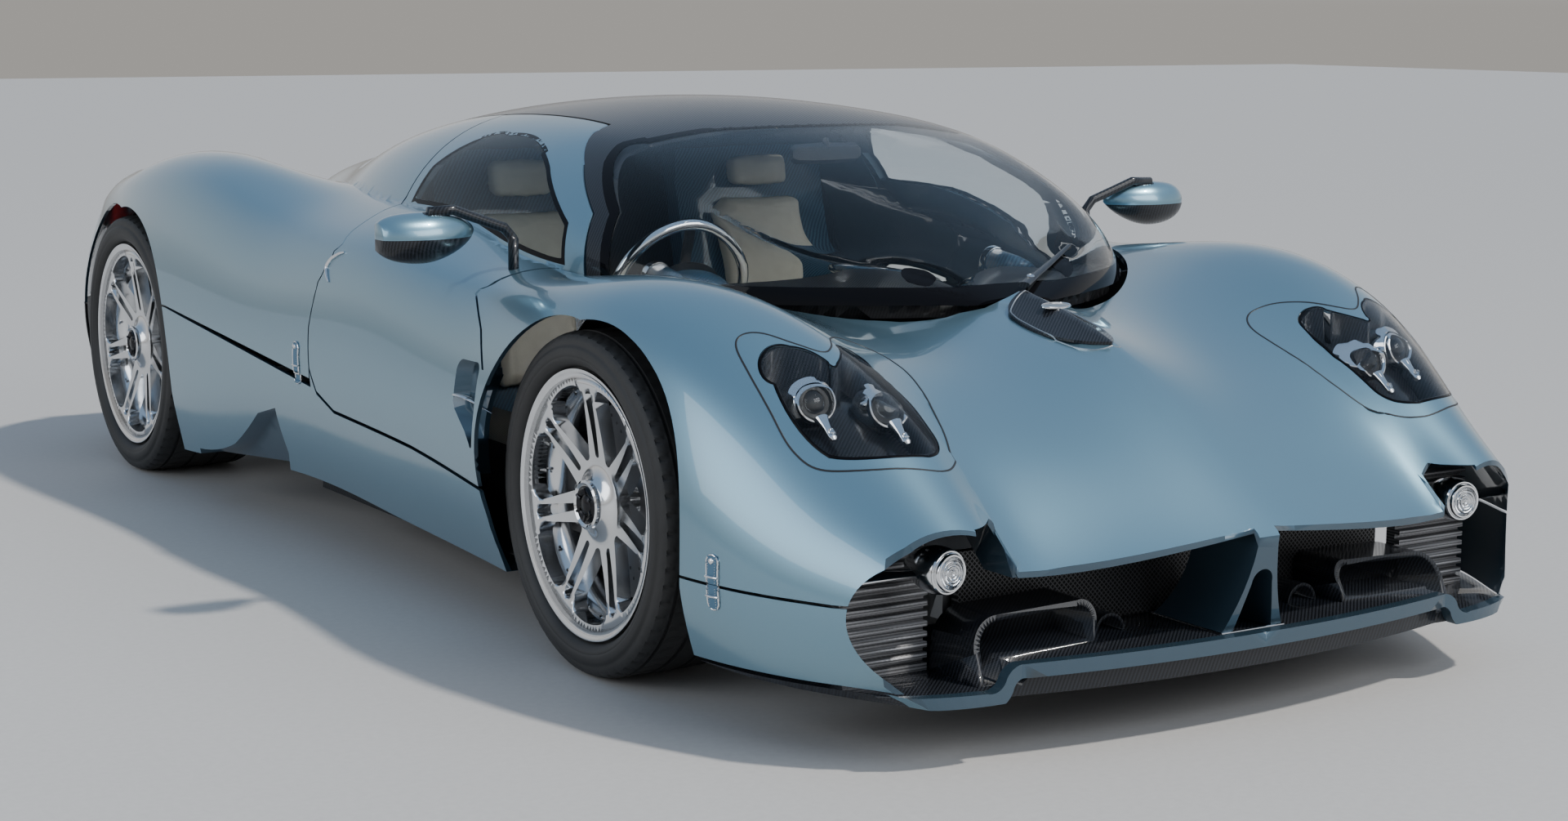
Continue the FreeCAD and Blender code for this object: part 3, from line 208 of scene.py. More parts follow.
class Surface:
    """A smooth surface that pieces are drawn onto: the nearest point and its normal."""

    def __init__(self, grid, normals):
        a, b = grid.shape[:2]
        index = np.arange(a * b).reshape(a, b)
        one = np.stack([index[:-1, :-1], index[1:, :-1], index[1:, 1:]], -1).reshape(-1, 3)
        two = np.stack([index[:-1, :-1], index[1:, 1:], index[:-1, 1:]], -1).reshape(-1, 3)
        self.faces = np.concatenate([one, two]).tolist()
        self.points = [Vector(p) for p in grid.reshape(-1, 3)]
        self.normals = [Vector(p) for p in normals.reshape(-1, 3)]
        self.tree = BVHTree.FromPolygons(self.points, self.faces)

    def nearest(self, point, reach):
        """(point, normal) on the surface within reach, or None."""
        place, _, index, _ = self.tree.find_nearest(point, reach)
        if place is None:
            return None
        a, b, c = self.faces[index]
        normal = barycentric_transform(
            place, self.points[a], self.points[b], self.points[c],
            self.normals[a], self.normals[b], self.normals[c])
        return place, normal.normalized()

    def hit(self, origin, direction):
        """(point, normal) where a ray meets the surface, or None."""
        place, _, index, _ = self.tree.ray_cast(Vector(origin), Vector(direction))
        if place is None:
            return None
        return self.nearest(place, 0.01)


body_surface = Surface(*smooth_surface(BODY_LINES, body_edges, 330, 20, 14))
cabin_surface = Surface(*smooth_surface(CABIN_LINES, cabin_edges, 260, 20, 6))


# Materials


class Nodes:
    """A node material that is built in a few lines."""

    def __init__(self, name):
        self.material = bpy.data.materials.new(name)
        self.material.use_nodes = True
        self.tree = self.material.node_tree
        self.shader = self.tree.nodes["Principled BSDF"]
        self.coords = self.tree.nodes.new("ShaderNodeTexCoord").outputs["Object"]

    def set(self, **values):
        for key, value in values.items():
            socket = self.shader.inputs[key.replace("_", " ").title().replace("Ior", "IOR")]
            if isinstance(value, (int, float)):
                socket.default_value = value
            elif isinstance(value, tuple):
                socket.default_value = value + (1.0,) if len(value) == 3 else value
            else:
                self.tree.links.new(value, socket)

    def node(self, kind, links=None, **values):
        made = self.tree.nodes.new("ShaderNode" + kind)
        for key, value in values.items():
            setattr(made, key, value)
        for key, value in (links or {}).items():
            if isinstance(value, bpy.types.NodeSocket):
                self.tree.links.new(value, made.inputs[key])
            else:
                made.inputs[key].default_value = value
        return made

    def noise(self, scale, detail=3.0):
        links = {"Vector": self.coords, "Scale": scale, "Detail": detail}
        return self.node("TexNoise", links).outputs["Fac"]

    def math(self, operation, a, b=0.0):
        return self.node("Math", {0: a, 1: b}, operation=operation).outputs[0]

    def stretch(self, value, low, high):
        """Reads 0..1 as low..high."""
        return self.node("MapRange", {"Value": value, "To Min": low, "To Max": high}).outputs[0]

    def mix(self, factor, a, b):
        return self.node("MixRGB", {"Fac": factor, "Color1": a + (1,), "Color2": b + (1,)}).outputs[0]

    def bump(self, height, strength, distance):
        made = self.node("Bump", {"Height": height, "Strength": strength, "Distance": distance})
        self.tree.links.new(made.outputs["Normal"], self.shader.inputs["Normal"])

    def axes(self):
        made = self.node("SeparateXYZ", {0: self.coords})
        return made.outputs[0], made.outputs[1], made.outputs[2]


def paint(name, light, dark, roughness=0.3, metallic=0.75):
    m = Nodes(name)
    flake = m.noise(2600.0, 1.0)
    cloud = m.noise(3.0, 2.0)
    colour = m.mix(m.stretch(flake, 0.1, 0.9), dark, light)
    m.set(base_color=colour, metallic=metallic,
          roughness=m.stretch(cloud, roughness - 0.02, roughness + 0.03))
    m.set(coat_weight=1.0, coat_roughness=0.03, coat_ior=1.5)
    return m.material


def weave(name, dark, light, size=420.0, roughness=0.32, coat=1.0):
    """Twill of flat bundles under lacquer."""
    m = Nodes(name)
    x, y, z = m.axes()
    across = m.math("ADD", m.math("MULTIPLY", x, size), m.math("MULTIPLY", z, size * 0.35))
    down = m.math("ADD", m.math("MULTIPLY", y, size), m.math("MULTIPLY", z, size * 0.8))
    step = m.math("SUBTRACT", m.math("FLOOR", across), m.math("FLOOR", down))
    over = m.math("LESS_THAN", m.math("MODULO", m.math("ADD", step, 4000.0), 4.0), 1.5)
    fibre = m.noise(900.0, 2.0)
    shade = m.math("ADD", m.math("MULTIPLY", over, 0.75), m.math("MULTIPLY", fibre, 0.25))
    m.set(base_color=m.mix(shade, dark, light), roughness=m.stretch(over, roughness, roughness + 0.16))
    m.set(specular_ior_level=0.2, coat_weight=coat * 0.55, coat_roughness=0.03, coat_ior=1.42)
    m.bump(over, 0.15, 0.0004)
    return m.material


def metal(name, colour, roughness, grain=0.05, scale=260.0):
    m = Nodes(name)
    lines = m.noise(scale, 4.0)
    dull = tuple(c * 0.85 for c in colour)
    m.set(base_color=m.mix(m.noise(14.0, 2.0), dull, colour), metallic=1.0,
          roughness=m.stretch(lines, max(0.02, roughness - grain), roughness + grain))
    return m.material


def plastic(name, dark, light, roughness=0.5, bump=0.1, scale=700.0):
    m = Nodes(name)
    grain = m.noise(scale, 3.0)
    m.set(base_color=m.mix(grain, dark, light),
          roughness=m.stretch(grain, roughness - 0.06, roughness + 0.08))
    m.bump(grain, bump, 0.0005)
    return m.material


def glass(name, colour, roughness):
    m = Nodes(name)
    smear = m.noise(5.0, 3.0)
    m.set(base_color=m.mix(smear, tuple(c * 0.97 for c in colour), colour), ior=1.45,
          roughness=m.stretch(smear, roughness, roughness + 0.01), transmission_weight=1.0)
    return m.material


def printed_glass(name, colour, band, foot=0.0, ior=1.2):
    """Glass with a black print along its edge, wider below a height."""
    m = Nodes(name)
    reach = m.node("Attribute", attribute_name="edge_distance").outputs["Fac"]
    x, y, z = m.axes()
    mask = m.math("MAXIMUM", m.math("LESS_THAN", reach, band), m.math("LESS_THAN", z, foot))
    smear = m.noise(5.0, 3.0)
    m.set(base_color=m.mix(mask, colour, (0.004, 0.004, 0.005)), ior=ior,
          roughness=m.stretch(smear, 0.0, 0.01), transmission_weight=m.math("SUBTRACT", 1.0, mask))
    return m.material


def mesh_metal(name, dark, light, pitch, core_edge):
    """Woven mesh in the middle and a finned core further out than core_edge. The gaps between wires and
    between fins are painted near-black as the shade of the openings.
    """
    m = Nodes(name)
    x, y, z = m.axes()
    lines = []
    for turn in (1.0, -1.0):
        along_mesh = m.math("ADD", m.math("MULTIPLY", x, pitch), m.math("MULTIPLY", z, pitch * turn))
        part = m.math("ABSOLUTE", m.math("SUBTRACT", m.math("FRACT", along_mesh), 0.5))
        lines.append(m.math("GREATER_THAN", part, 0.36))
    woven = m.math("MAXIMUM", lines[0], lines[1])
    core = m.math("GREATER_THAN", m.math("ABSOLUTE", x), core_edge)
    fins = m.math("GREATER_THAN", m.math("FRACT", m.math("MULTIPLY", z, 160.0)), 0.45)
    # Painted shade: the mesh's openings and the gaps between fins take the dark colour
    shade = m.math("ADD", m.math("MULTIPLY", core, m.stretch(fins, 0.35, 1.0)),
                   m.math("MULTIPLY", m.math("SUBTRACT", 1.0, core), m.math("MULTIPLY", woven, 0.25)))
    m.set(base_color=m.mix(shade, dark, light), metallic=0.6, roughness=m.stretch(woven, 0.6, 0.4))
    m.bump(m.math("MAXIMUM", woven, core), 0.5, 0.001)
    return m.material


def leather(name, dark, light):
    m = Nodes(name)
    cells = m.node("TexVoronoi", {"Vector": m.coords, "Scale": 420.0}).outputs["Distance"]
    cloud = m.noise(30.0, 4.0)
    m.set(base_color=m.mix(cloud, dark, light), roughness=m.stretch(cells, 0.45, 0.62))
    m.bump(cells, 0.35, 0.0006)
    return m.material


def rubber(name):
    m = Nodes(name)
    grain = m.noise(500.0, 4.0)
    dust = m.noise(9.0, 3.0)
    m.set(base_color=m.mix(dust, (0.012, 0.012, 0.012), (0.03, 0.029, 0.028)),
          roughness=m.stretch(grain, 0.5, 0.72))
    m.bump(grain, 0.12, 0.0006)
    return m.material


BLUE = paint("paint_blue", (0.215, 0.37, 0.46), (0.12, 0.235, 0.31))
# A darker copy of the blue paint for the panels' inner faces: painted shade of the jambs, edges and
# undersides
BLUE_PAINTED_SHADE = paint("paint_blue_painted_shade", (0.05, 0.1, 0.14), (0.03, 0.06, 0.09), 0.5)
CARBON = weave("carbon_gloss", (0.003, 0.0035, 0.0045), (0.022, 0.025, 0.032))
CARBON_DULL = weave("carbon_dull", (0.008, 0.008, 0.009), (0.022, 0.022, 0.024), 420.0, 0.5, 0.2)
CARBON_BLUE = weave("carbon_blue", (0.01, 0.03, 0.06), (0.04, 0.1, 0.16), 380.0, 0.3, 1.0)
BLACK = plastic("black_satin", (0.006, 0.006, 0.007), (0.014, 0.014, 0.015), 0.45)
CHROME = metal("chrome", (0.82, 0.83, 0.84), 0.07, 0.02)
RIM = metal("rim_polished", (0.78, 0.785, 0.79), 0.16, 0.05)
BRUSHED = metal("brushed_metal", (0.58, 0.58, 0.57), 0.3, 0.1, 900.0)
DARK_METAL = metal("dark_metal", (0.14, 0.14, 0.145), 0.42, 0.1)
DISC = metal("disc_grey", (0.3, 0.3, 0.31), 0.38, 0.08, 500.0)
ALLOY = metal("satin_alloy", (0.4, 0.41, 0.42), 0.38, 0.08)
CREAM = leather("leather_cream", (0.66, 0.6, 0.48), (0.8, 0.74, 0.61))
BLUE_LEATHER = leather("leather_blue", (0.05, 0.12, 0.19), (0.08, 0.18, 0.27))
BLACK_LEATHER = leather("leather_black", (0.012, 0.012, 0.013), (0.024, 0.023, 0.023))
TYRE = rubber("tyre_rubber")
LENS = glass("lamp_lens", (0.95, 0.96, 0.97), 0.02)
RED = glass("red_lens", (0.5, 0.02, 0.02), 0.05)
MIRROR = metal("mirror_glass", (0.7, 0.72, 0.74), 0.03, 0.01)
SCREEN = printed_glass("windscreen_glass", (0.97, 0.985, 0.985), 0.026, 0.782)
SIDE_GLASS = printed_glass("side_glass", (0.78, 0.84, 0.85), 0.012)
COVER = printed_glass("lamp_cover", (0.98, 0.985, 0.985), 0.0035, ior=1.16)
RADIATOR = mesh_metal("radiator_mesh", (0.002, 0.002, 0.002), (0.3, 0.3, 0.31), 90.0, 0.58)


# Meshes


def body_of(node):
    return frame["nodes"][node]["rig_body"]


def link(mesh, name, material, body, stands_for=None):
    """A piece that rides on a body; where it stands for a CAD node, it hides that node."""
    obj = bpy.data.objects.new(name, mesh)
    bpy.context.scene.collection.objects.link(obj)
    for one in material if isinstance(material, list) else [material]:
        mesh.materials.append(one)
    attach(obj, body)
    if stands_for:
        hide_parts(stands_for)
    return obj


def node_bmesh(node):
    """A CAD node's own shape, its points welded and its empty faces gone."""
    weld = 2e-5
    bm = bmesh.new()
    bm.from_mesh(frame["nodes"][node].data)
    bmesh.ops.remove_doubles(bm, verts=bm.verts, dist=weld)
    bmesh.ops.dissolve_degenerate(bm, dist=weld / 2, edges=bm.edges)
    return bm


def shaded_mesh(bm, name, angle):
    """The mesh of a bmesh, smooth with sharp edges where faces meet at more than the angle."""
    mesh = bpy.data.meshes.new(name)
    bm.to_mesh(mesh)
    bm.free()
    mesh.polygons.foreach_set("use_smooth", [True] * len(mesh.polygons))
    mesh.set_sharp_from_angle(angle=math.radians(angle))
    return mesh


def node_piece(bm, node, ending, materials, angle):
    """The piece that stands for a CAD node and rides on the node's body."""
    name = node + ending
    return link(shaded_mesh(bm, name, angle), name, materials, body_of(node), node)


# How a panel follows the smooth surface, in metres: how far from it a panel's outer side may lie,
# how near a point is drawn onto it, and the steps of the panel's rim
SKIN_REACH = 0.018
SKIN_PULL = 0.0035
RIM_STEP = 0.006


def nearest_skin(place):
    """(point, normal) of the body's or cabin's surface, whichever is nearer, or None."""
    hits = [surface.nearest(place, SKIN_REACH) for surface in (body_surface, cabin_surface)]
    hits = [hit for hit in hits if hit]
    return min(hits, key=lambda hit: (hit[0] - place).length) if hits else None


def skinned(node, material, inner=None, longest=0.035):
    """A panel drawn onto the smooth surface: outer faces are refined, moved onto it and shaded by it.
    Each point keeps its distance to the panel's edge, for glass that is printed black there."""
    bm = node_bmesh(node)
    layer = bm.faces.layers.int.new("outer")
    reach_layer = bm.verts.layers.float.new("edge_distance")
    bmesh.ops.triangulate(bm, faces=bm.faces)

    for face in bm.faces:
        middle = face.calc_center_median()
        for surface in (body_surface, cabin_surface):
            hit = surface.nearest(middle, SKIN_REACH)
            if hit and face.normal.dot(hit[1]) > 0.8:
                face[layer] = 1
    for _ in range(7):
        long_edges = [edge for edge in bm.edges if edge.calc_length() > longest
                      and any(face[layer] for face in edge.link_faces)]
        if not long_edges:
            break
        bmesh.ops.subdivide_edges(bm, edges=long_edges, cuts=1, use_grid_fill=False)
        bmesh.ops.triangulate(bm, faces=bm.faces)
    normals = {}
    for vert in bm.verts:
        hit = nearest_skin(vert.co) if any(face[layer] for face in vert.link_faces) else None
        if hit:
            pull = 2.0 - (hit[0] - vert.co).length / SKIN_PULL
            vert.co = vert.co.lerp(hit[0], min(1.0, max(0.0, pull)))
            normals[vert] = hit[1]
    bm.normal_update()
    bm.faces.index_update()
    bm.verts.index_update()
    loops = []
    rim = []
    for edge in bm.edges:
        if sum(face[layer] for face in edge.link_faces) == 1:
            a, b = edge.verts[0].co, edge.verts[1].co
            steps = max(1, int((b - a).length / RIM_STEP))
            rim.extend(a.lerp(b, k / steps) for k in range(steps + 1))
    rim_tree = KDTree(len(rim))
    for k, place in enumerate(rim):
        rim_tree.insert(place, k)
    rim_tree.balance()
    for vert in bm.verts:
        vert[reach_layer] = rim_tree.find(vert.co)[2] if rim else 1.0
    for face in bm.faces:
        if inner is not None:
            face.material_index = 0 if face[layer] else 1
        for loop in face.loops:
            normal = normals.get(loop.vert) if face[layer] else None
            shows = normal is not None and normal.dot(face.normal) > 0.5
            loops.append(tuple(normal) if shows else (0.0, 0.0, 0.0))
    panel = node_piece(bm, node, "_panel", [material] if inner is None else [material, inner], 30.0)
    panel.data.normals_split_custom_set(loops)
    return panel


# Panels and pieces

# The blue panels' inner faces take the darker blue, which is painted shade
panels = [skinned(node, BLUE, BLUE_PAINTED_SHADE) for node in (
    "front_clam", "rear_clam", "door_left", "door_right", "side_panels", "front_bumper")]
skinned("rear_bumper", CARBON, CARBON_DULL)
skinned("roof", CARBON, BLACK)
for node, material in (("windscreen", SCREEN), ("door_glass_left", SIDE_GLASS),
                       ("door_glass_right", SIDE_GLASS), ("headlamp_covers", COVER)):
    panels.append(skinned(node, material, longest=0.022))

for node, material in {
        "headlamp_bowls": CARBON, "badge_plate": CARBON, "tub": CARBON_DULL, "front_frame": ALLOY,
        "rear_frame": ALLOY, "engine": DARK_METAL, "splitter": CARBON, "radiators": RADIATOR,
        "fog_lamps": RIM, "rear_wing": BLUE, "tail_lamps": RED, "exhaust": CHROME,
        "seats": CARBON_BLUE, "dash_ducts": CARBON_BLUE, "suspension": ALLOY, "arch_liners": BLACK,
        "knuckle_left": DARK_METAL, "knuckle_right": DARK_METAL}.items():
    panel = node_piece(node_bmesh(node), node, "_shape", material, 32.0)
    if node == "badge_plate":
        panels.append(panel)


# Shapes drawn in code, in millimetres


def grid_faces(rows, columns, around=True, closed=False, capped=True):
    """Faces of a grid of points: around joins each row's ends, closed joins the last row to the first."""
    faces = []
    for i in range(rows if closed else rows - 1):
        a = i * columns
        b = (i + 1) % rows * columns
        for j in range(columns if around else columns - 1):
            k = (j + 1) % columns
            faces.append((a + j, a + k, b + k, b + j))
    if capped and around and not closed:
        faces.append(tuple(range(columns))[::-1])
        faces.append(tuple(range((rows - 1) * columns, rows * columns)))
    return faces


def smooth_path(points, count=6, closed=False):
    """Points along a smooth line (Catmull-Rom) through the given ones."""
    points = [np.array(p, float) for p in points]
    last = len(points) - 1
    path = []
    for i in range(len(points) if closed else last):
        if closed:
            p, q, r, s = (points[(i + k) % len(points)] for k in (-1, 0, 1, 2))
        else:
            p, q, r, s = (points[min(max(i + k, 0), last)] for k in (-1, 0, 1, 2))
        for t in np.arange(count) / count:
            path.append(0.5 * (2 * q + (r - p) * t + (2 * p - 5 * q + 4 * r - s) * t ** 2
                               + (3 * q - p - 3 * r + s) * t ** 3))
    if not closed:
        path.append(points[-1])
    return path


def tree_of(pieces):
    """A tree of the pieces' own faces, for what is laid on them."""
    points, faces = [], []
    for piece in pieces:
        start = len(points)
        points.extend(vert.co.copy() for vert in piece.data.vertices)
        faces.extend([start + i for i in face.vertices] for face in piece.data.polygons)
    return BVHTree.FromPolygons(points, faces)


panel_tree = tree_of(panels)


def onto(surface, x, y, z=None):
    """(point, normal) of the panel straight below (x, y), or nearest to (x, y, z)."""
    if z is None:
        place, normal = surface.hit((x * MM, y * MM, 2.0), (0, 0, -1))
    else:
        place, normal = surface.nearest(Vector((x, y, z)) * MM, 0.3)
    found = panel_tree.ray_cast(place + normal * 0.03, -normal, 0.05)[0]
    return (found or place) / MM, normal


class Shape:
    """Gathers points and faces, each with a material number, and makes one piece of them."""

    def __init__(self):
        self.points = []
        self.faces = []
        self.marks = []

    def add(self, points, faces, mark=0):
        start = len(self.points)
        self.points.extend(Vector(p) * MM for p in points)
        self.faces.extend(tuple(start + i for i in face) for face in faces)
        self.marks.extend([mark] * len(faces))
        return self

    def mirrored(self):
        count = len(self.points)
        self.points.extend([Vector((-p.x, p.y, p.z)) for p in self.points])
        self.faces.extend([tuple(count + i for i in reversed(face)) for face in self.faces])
        self.marks.extend(self.marks)
        return self

    def turned(self, profile, centre, axis, count=40, mark=0, squeeze=1.0):
        """A turned form. Profile: (place along the axis, radius)."""
        axis = Vector(axis).normalized()
        side = axis.cross((0, 0, 1))
        side = Vector((1, 0, 0)) if side.length < 0.1 else side.normalized()
        other = axis.cross(side)
        points = []
        for place, radius in profile:
            for k in range(count):
                a = 2 * math.pi * k / count
                points.append(Vector(centre) + axis * place + side * (math.cos(a) * radius)
                              + other * (math.sin(a) * radius * squeeze))
        return self.add(points, grid_faces(len(profile), count), mark)

    def tube(self, path, radii, count=12, mark=0, flat=1.0):
        """A round bar along a path; flat squeezes it across its upper side."""
        path = [Vector(p) for p in path]
        if isinstance(radii, (int, float)):
            radii = [radii] * len(path)
        points = []
        for i, place in enumerate(path):
            ahead = (path[min(i + 1, len(path) - 1)] - path[max(i - 1, 0)]).normalized()
            side = ahead.cross((0, 0, 1))
            side = Vector((1, 0, 0)) if side.length < 0.05 else side.normalized()
            other = ahead.cross(side)
            for k in range(count):
                a = 2 * math.pi * k / count
                points.append(place + side * (math.cos(a) * radii[i])
                              + other * (math.sin(a) * radii[i] * flat))
        return self.add(points, grid_faces(len(path), count), mark)

    def laid(self, spots, section, mark=0, closed=False):
        """A section (across, up) swept along (place, normal) spots of a surface."""
        count = len(spots)
        points = []
        for i, (place, normal) in enumerate(spots):
            a = spots[(i - 1) % count if closed else max(i - 1, 0)][0]
            b = spots[(i + 1) % count if closed else min(i + 1, count - 1)][0]
            side = (b - a).cross(normal).normalized()
            points.extend(place + side * across + normal * up for across, up in section)
        return self.add(points, grid_faces(count, len(section), True, closed), mark)

    def block(self, low, high, mark=0):
        x, y, z = zip(low, high)
        points = [(x[i], y[j], z[k]) for i in (0, 1) for j in (0, 1) for k in (0, 1)]
        faces = [(0, 1, 3, 2), (4, 6, 7, 5), (0, 4, 5, 1), (2, 3, 7, 6), (0, 2, 6, 4), (1, 5, 7, 3)]
        return self.add(points, faces, mark)

    def kept_under(self, surface, depth):
        """Pushes what stands too near a surface, or out of it, to a depth below it."""
        for i, point in enumerate(self.points):
            found = surface.nearest(point, 0.2)
            if found and (point - found[0]).dot(found[1]) > -depth * MM:
                self.points[i] = found[0] - found[1] * depth * MM
        return self

    def piece(self, name, materials, body, angle=35.0, stands_for=None):
        plain = bpy.data.meshes.new(name)
        plain.from_pydata(self.points, [], self.faces)
        plain.polygons.foreach_set("material_index", self.marks)
        bm = bmesh.new()
        bm.from_mesh(plain)
        bpy.data.meshes.remove(plain)
        bmesh.ops.remove_doubles(bm, verts=bm.verts, dist=2e-6)
        bmesh.ops.recalc_face_normals(bm, faces=bm.faces)
        return link(shaded_mesh(bm, name, angle), name, materials, body, stands_for)


CHASSIS = body_of("tub")
CLAM = body_of("front_clam")
TAIL_CLAM = body_of("rear_clam")
SEAM = [(-2.0, 0.4), (-1.4, 0.9), (1.4, 0.9), (2.0, 0.4), (2.0, -0.8), (-2.0, -0.8)]

# The shut line round each headlamp, as (across, along) points on the right of the lamp's opening. A black
# strip laid along it is painted shade for the gap.
LAMP_CONTOUR = [
    (845, -1930), (848, -1850), (845, -1770), (836, -1715), (815, -1698), (782, -1714), (738, -1768),
    (697, -1800), (662, -1776), (620, -1712), (570, -1668), (516, -1662), (482, -1705), (478, -1780),
    (500, -1890), (527, -1986), (563, -2050), (635, -2092), (736, -2063), (815, -1996)]
# Black strips along the shut lines round the lamps: painted shade of the gaps
gap_shade_strips = Shape()
for sign in (1, -1):
    path = smooth_path([(sign * x, y) for x, y in LAMP_CONTOUR], 8, True)
    gap_shade_strips.laid([onto(body_surface, x, y) for x, y in path], SEAM, closed=True)
gap_shade_strips.piece("headlamp_gap_shade", BLACK, CLAM)

# The lamps: a bezel, reflector and lens in a chrome housing, with a drop below
LAMP_AIM = Vector((0.12, -0.9, 0.28)).normalized()
LAMP_FALL = Vector((0.02, -0.8, -0.6))
lamps = Shape()
for place, scale in ((Vector((759, -1866, 638)), 1.0), (Vector((627, -1916, 626)), 1.06)):
    def lamp_ring(rows, mark):
        lamps.turned([(a, b * scale) for a, b in rows], place, LAMP_AIM, 44, mark)

    lamp_ring([(-34, 28), (-10, 38), (8, 41), (14, 40), (15, 37), (10, 34), (4, 33), (-8, 31),
               (-20, 20), (-22, 0)], 0)
    lamp_ring([(5, 32.5), (6, 31), (1, 27), (-2, 26.5), (-2, 32)], 1)
    lamp_ring([(-6, 25), (2, 24.5), (9, 20), (14, 12), (16, 0)], 2)
    lamp_ring([(-12, 12), (-11, 9), (-11, 0)], 1)
    start = place + LAMP_FALL * 44 - LAMP_AIM * 8
    drop = [start + LAMP_FALL * t + Vector((0, 0, 2)) for t in (0, 14, 28, 42, 52, 58)]
    lamps.tube(drop, [15, 11, 8.5, 9.0, 9.5, 5], 16, 0, 0.8)
    lamps.turned([(-98, 4), (-93, 20), (-80, 36), (-60, 47), (-36, 51), (-14, 48), (2, 42), (0, 37),
                  (-26, 37), (-40, 2)], place + Vector((0, 0, 4)), LAMP_AIM, 44, 0)
    for ring in (29.5, 22.0, 14.0):
        lamp_ring([(-13, ring), (-10, ring - 1.5), (-13, ring - 3)], 0)
    for spot in range(3):
        a = 2 * math.pi * spot / 3 + 0.5
        side_way = Vector((1, 0, 0)) * math.cos(a) * 11 + Vector((0, 0.3, 0.95)) * math.sin(a) * 11
        lamps.turned([(-11, 7), (-9, 6.4), (-8, 4), (-7.5, 0)], place + side_way, LAMP_AIM, 18, 0)
    lamps.turned([(0, 8), (4, 6), (6, 0)], drop[3] + Vector((0, -4, 6)), (0.1, -0.8, 0.6), 18, 2)
lamps.mirrored().kept_under(body_surface, 9.0)
lamps.piece("headlamp_units", [CHROME, BLACK, LENS], CLAM, 30.0, "headlamps")

# Badge plate's edge trim, and the bare oval on it
badge = Shape()
PLATE_RISE = 7
plate_lines = [tuple(v + PLATE_RISE * (k % 2) for k, v in enumerate(row)) for row in BODY_LINES]
plate_top = Surface(*smooth_surface(plate_lines, body_edges, 330, 20, 14))
plate_line = smooth_path([
    (0, -1814), (36, -1800), (60, -1752), (74, -1690), (77, -1622), (74, -1588), (60, -1556), (0, -1521),
    (-60, -1556), (-74, -1588), (-77, -1622), (-74, -1690), (-60, -1752), (-36, -1800)], 8, True)
badge.laid([onto(plate_top, x, y) for x, y in plate_line],
           [(-1.5, 0.5), (0, 1.2), (1.5, 0.5), (1.5, -1), (-1.5, -1)], 0, True)
oval, oval_normal = onto(plate_top, 4, -1622)
badge.turned([(-1, 39), (1.5, 39), (3, 37.5), (3, 35.5), (1.6, 34.5), (1.6, 0)],
             oval, oval_normal, 48, 1, 0.46)
badge.turned([(1.8, 33), (2.4, 30), (2.8, 0)], oval, oval_normal, 48, 2, 0.44)
badge.piece("badge_trim", [BRUSHED, CHROME, BRUSHED], CLAM)

# Fog lamps: a bezel and a domed lens on the bullet's flat front, a chrome ring behind it
fog = Shape()
FOG = Vector((660, -2174.5, 359))
FOG_AXIS = Vector((-0.139, -0.990, 0))
fog.turned([(-2, 36), (2, 35.5), (4, 34), (4, 31), (1, 30), (0.6, 0)], FOG, FOG_AXIS, 40, 0)
for ring in range(4):
    fog.turned([(0.4, 28 - 7 * ring), (2.6, 26 - 7 * ring), (1.0, 22.5 - 7 * ring)], FOG, FOG_AXIS, 40, 0)
fog.turned([(1.2, 31), (5, 28), (8.5, 20), (11, 10), (12, 0)], FOG, FOG_AXIS, 40, 1)
fog.turned([(-9, 41.6), (-7, 42.4), (-4, 40.4)], FOG, FOG_AXIS, 40, 0)
fog.mirrored().piece("fog_lenses", [CHROME, LENS], CLAM)

# Chrome strips round the foot of the column
foot = Shape()
FOOT_X, FOOT_Z, FOOT_FRONT, FOOT_BACK, FOOT_BAR = 80, 188.5, NOSE + 43, NOSE + 246, 2.6
for x in (FOOT_X, -FOOT_X):
    foot.tube([(x, FOOT_BACK, FOOT_Z), (x, FOOT_FRONT, FOOT_Z)], FOOT_BAR, 10, 0)
foot.tube([(-FOOT_X, FOOT_FRONT, FOOT_Z), (FOOT_X, FOOT_FRONT, FOOT_Z)], FOOT_BAR, 10, 0)
foot.piece("column_foot_trim", CHROME, CHASSIS)

# Wheels. Columns: axle, height of the centre, rim radius, width, outer face, disc radius
WHEELS = {
    "front": (FRONT_AXLE, 359.4, 281.0, 265.0, 950.0, 205.0),
    "rear": (REAR_AXLE, 376.9, 294.0, 325.0, 975.0, 200.0),
}
HUB_DARK = metal("hub_dark", (0.035, 0.035, 0.038), 0.22, 0.06)

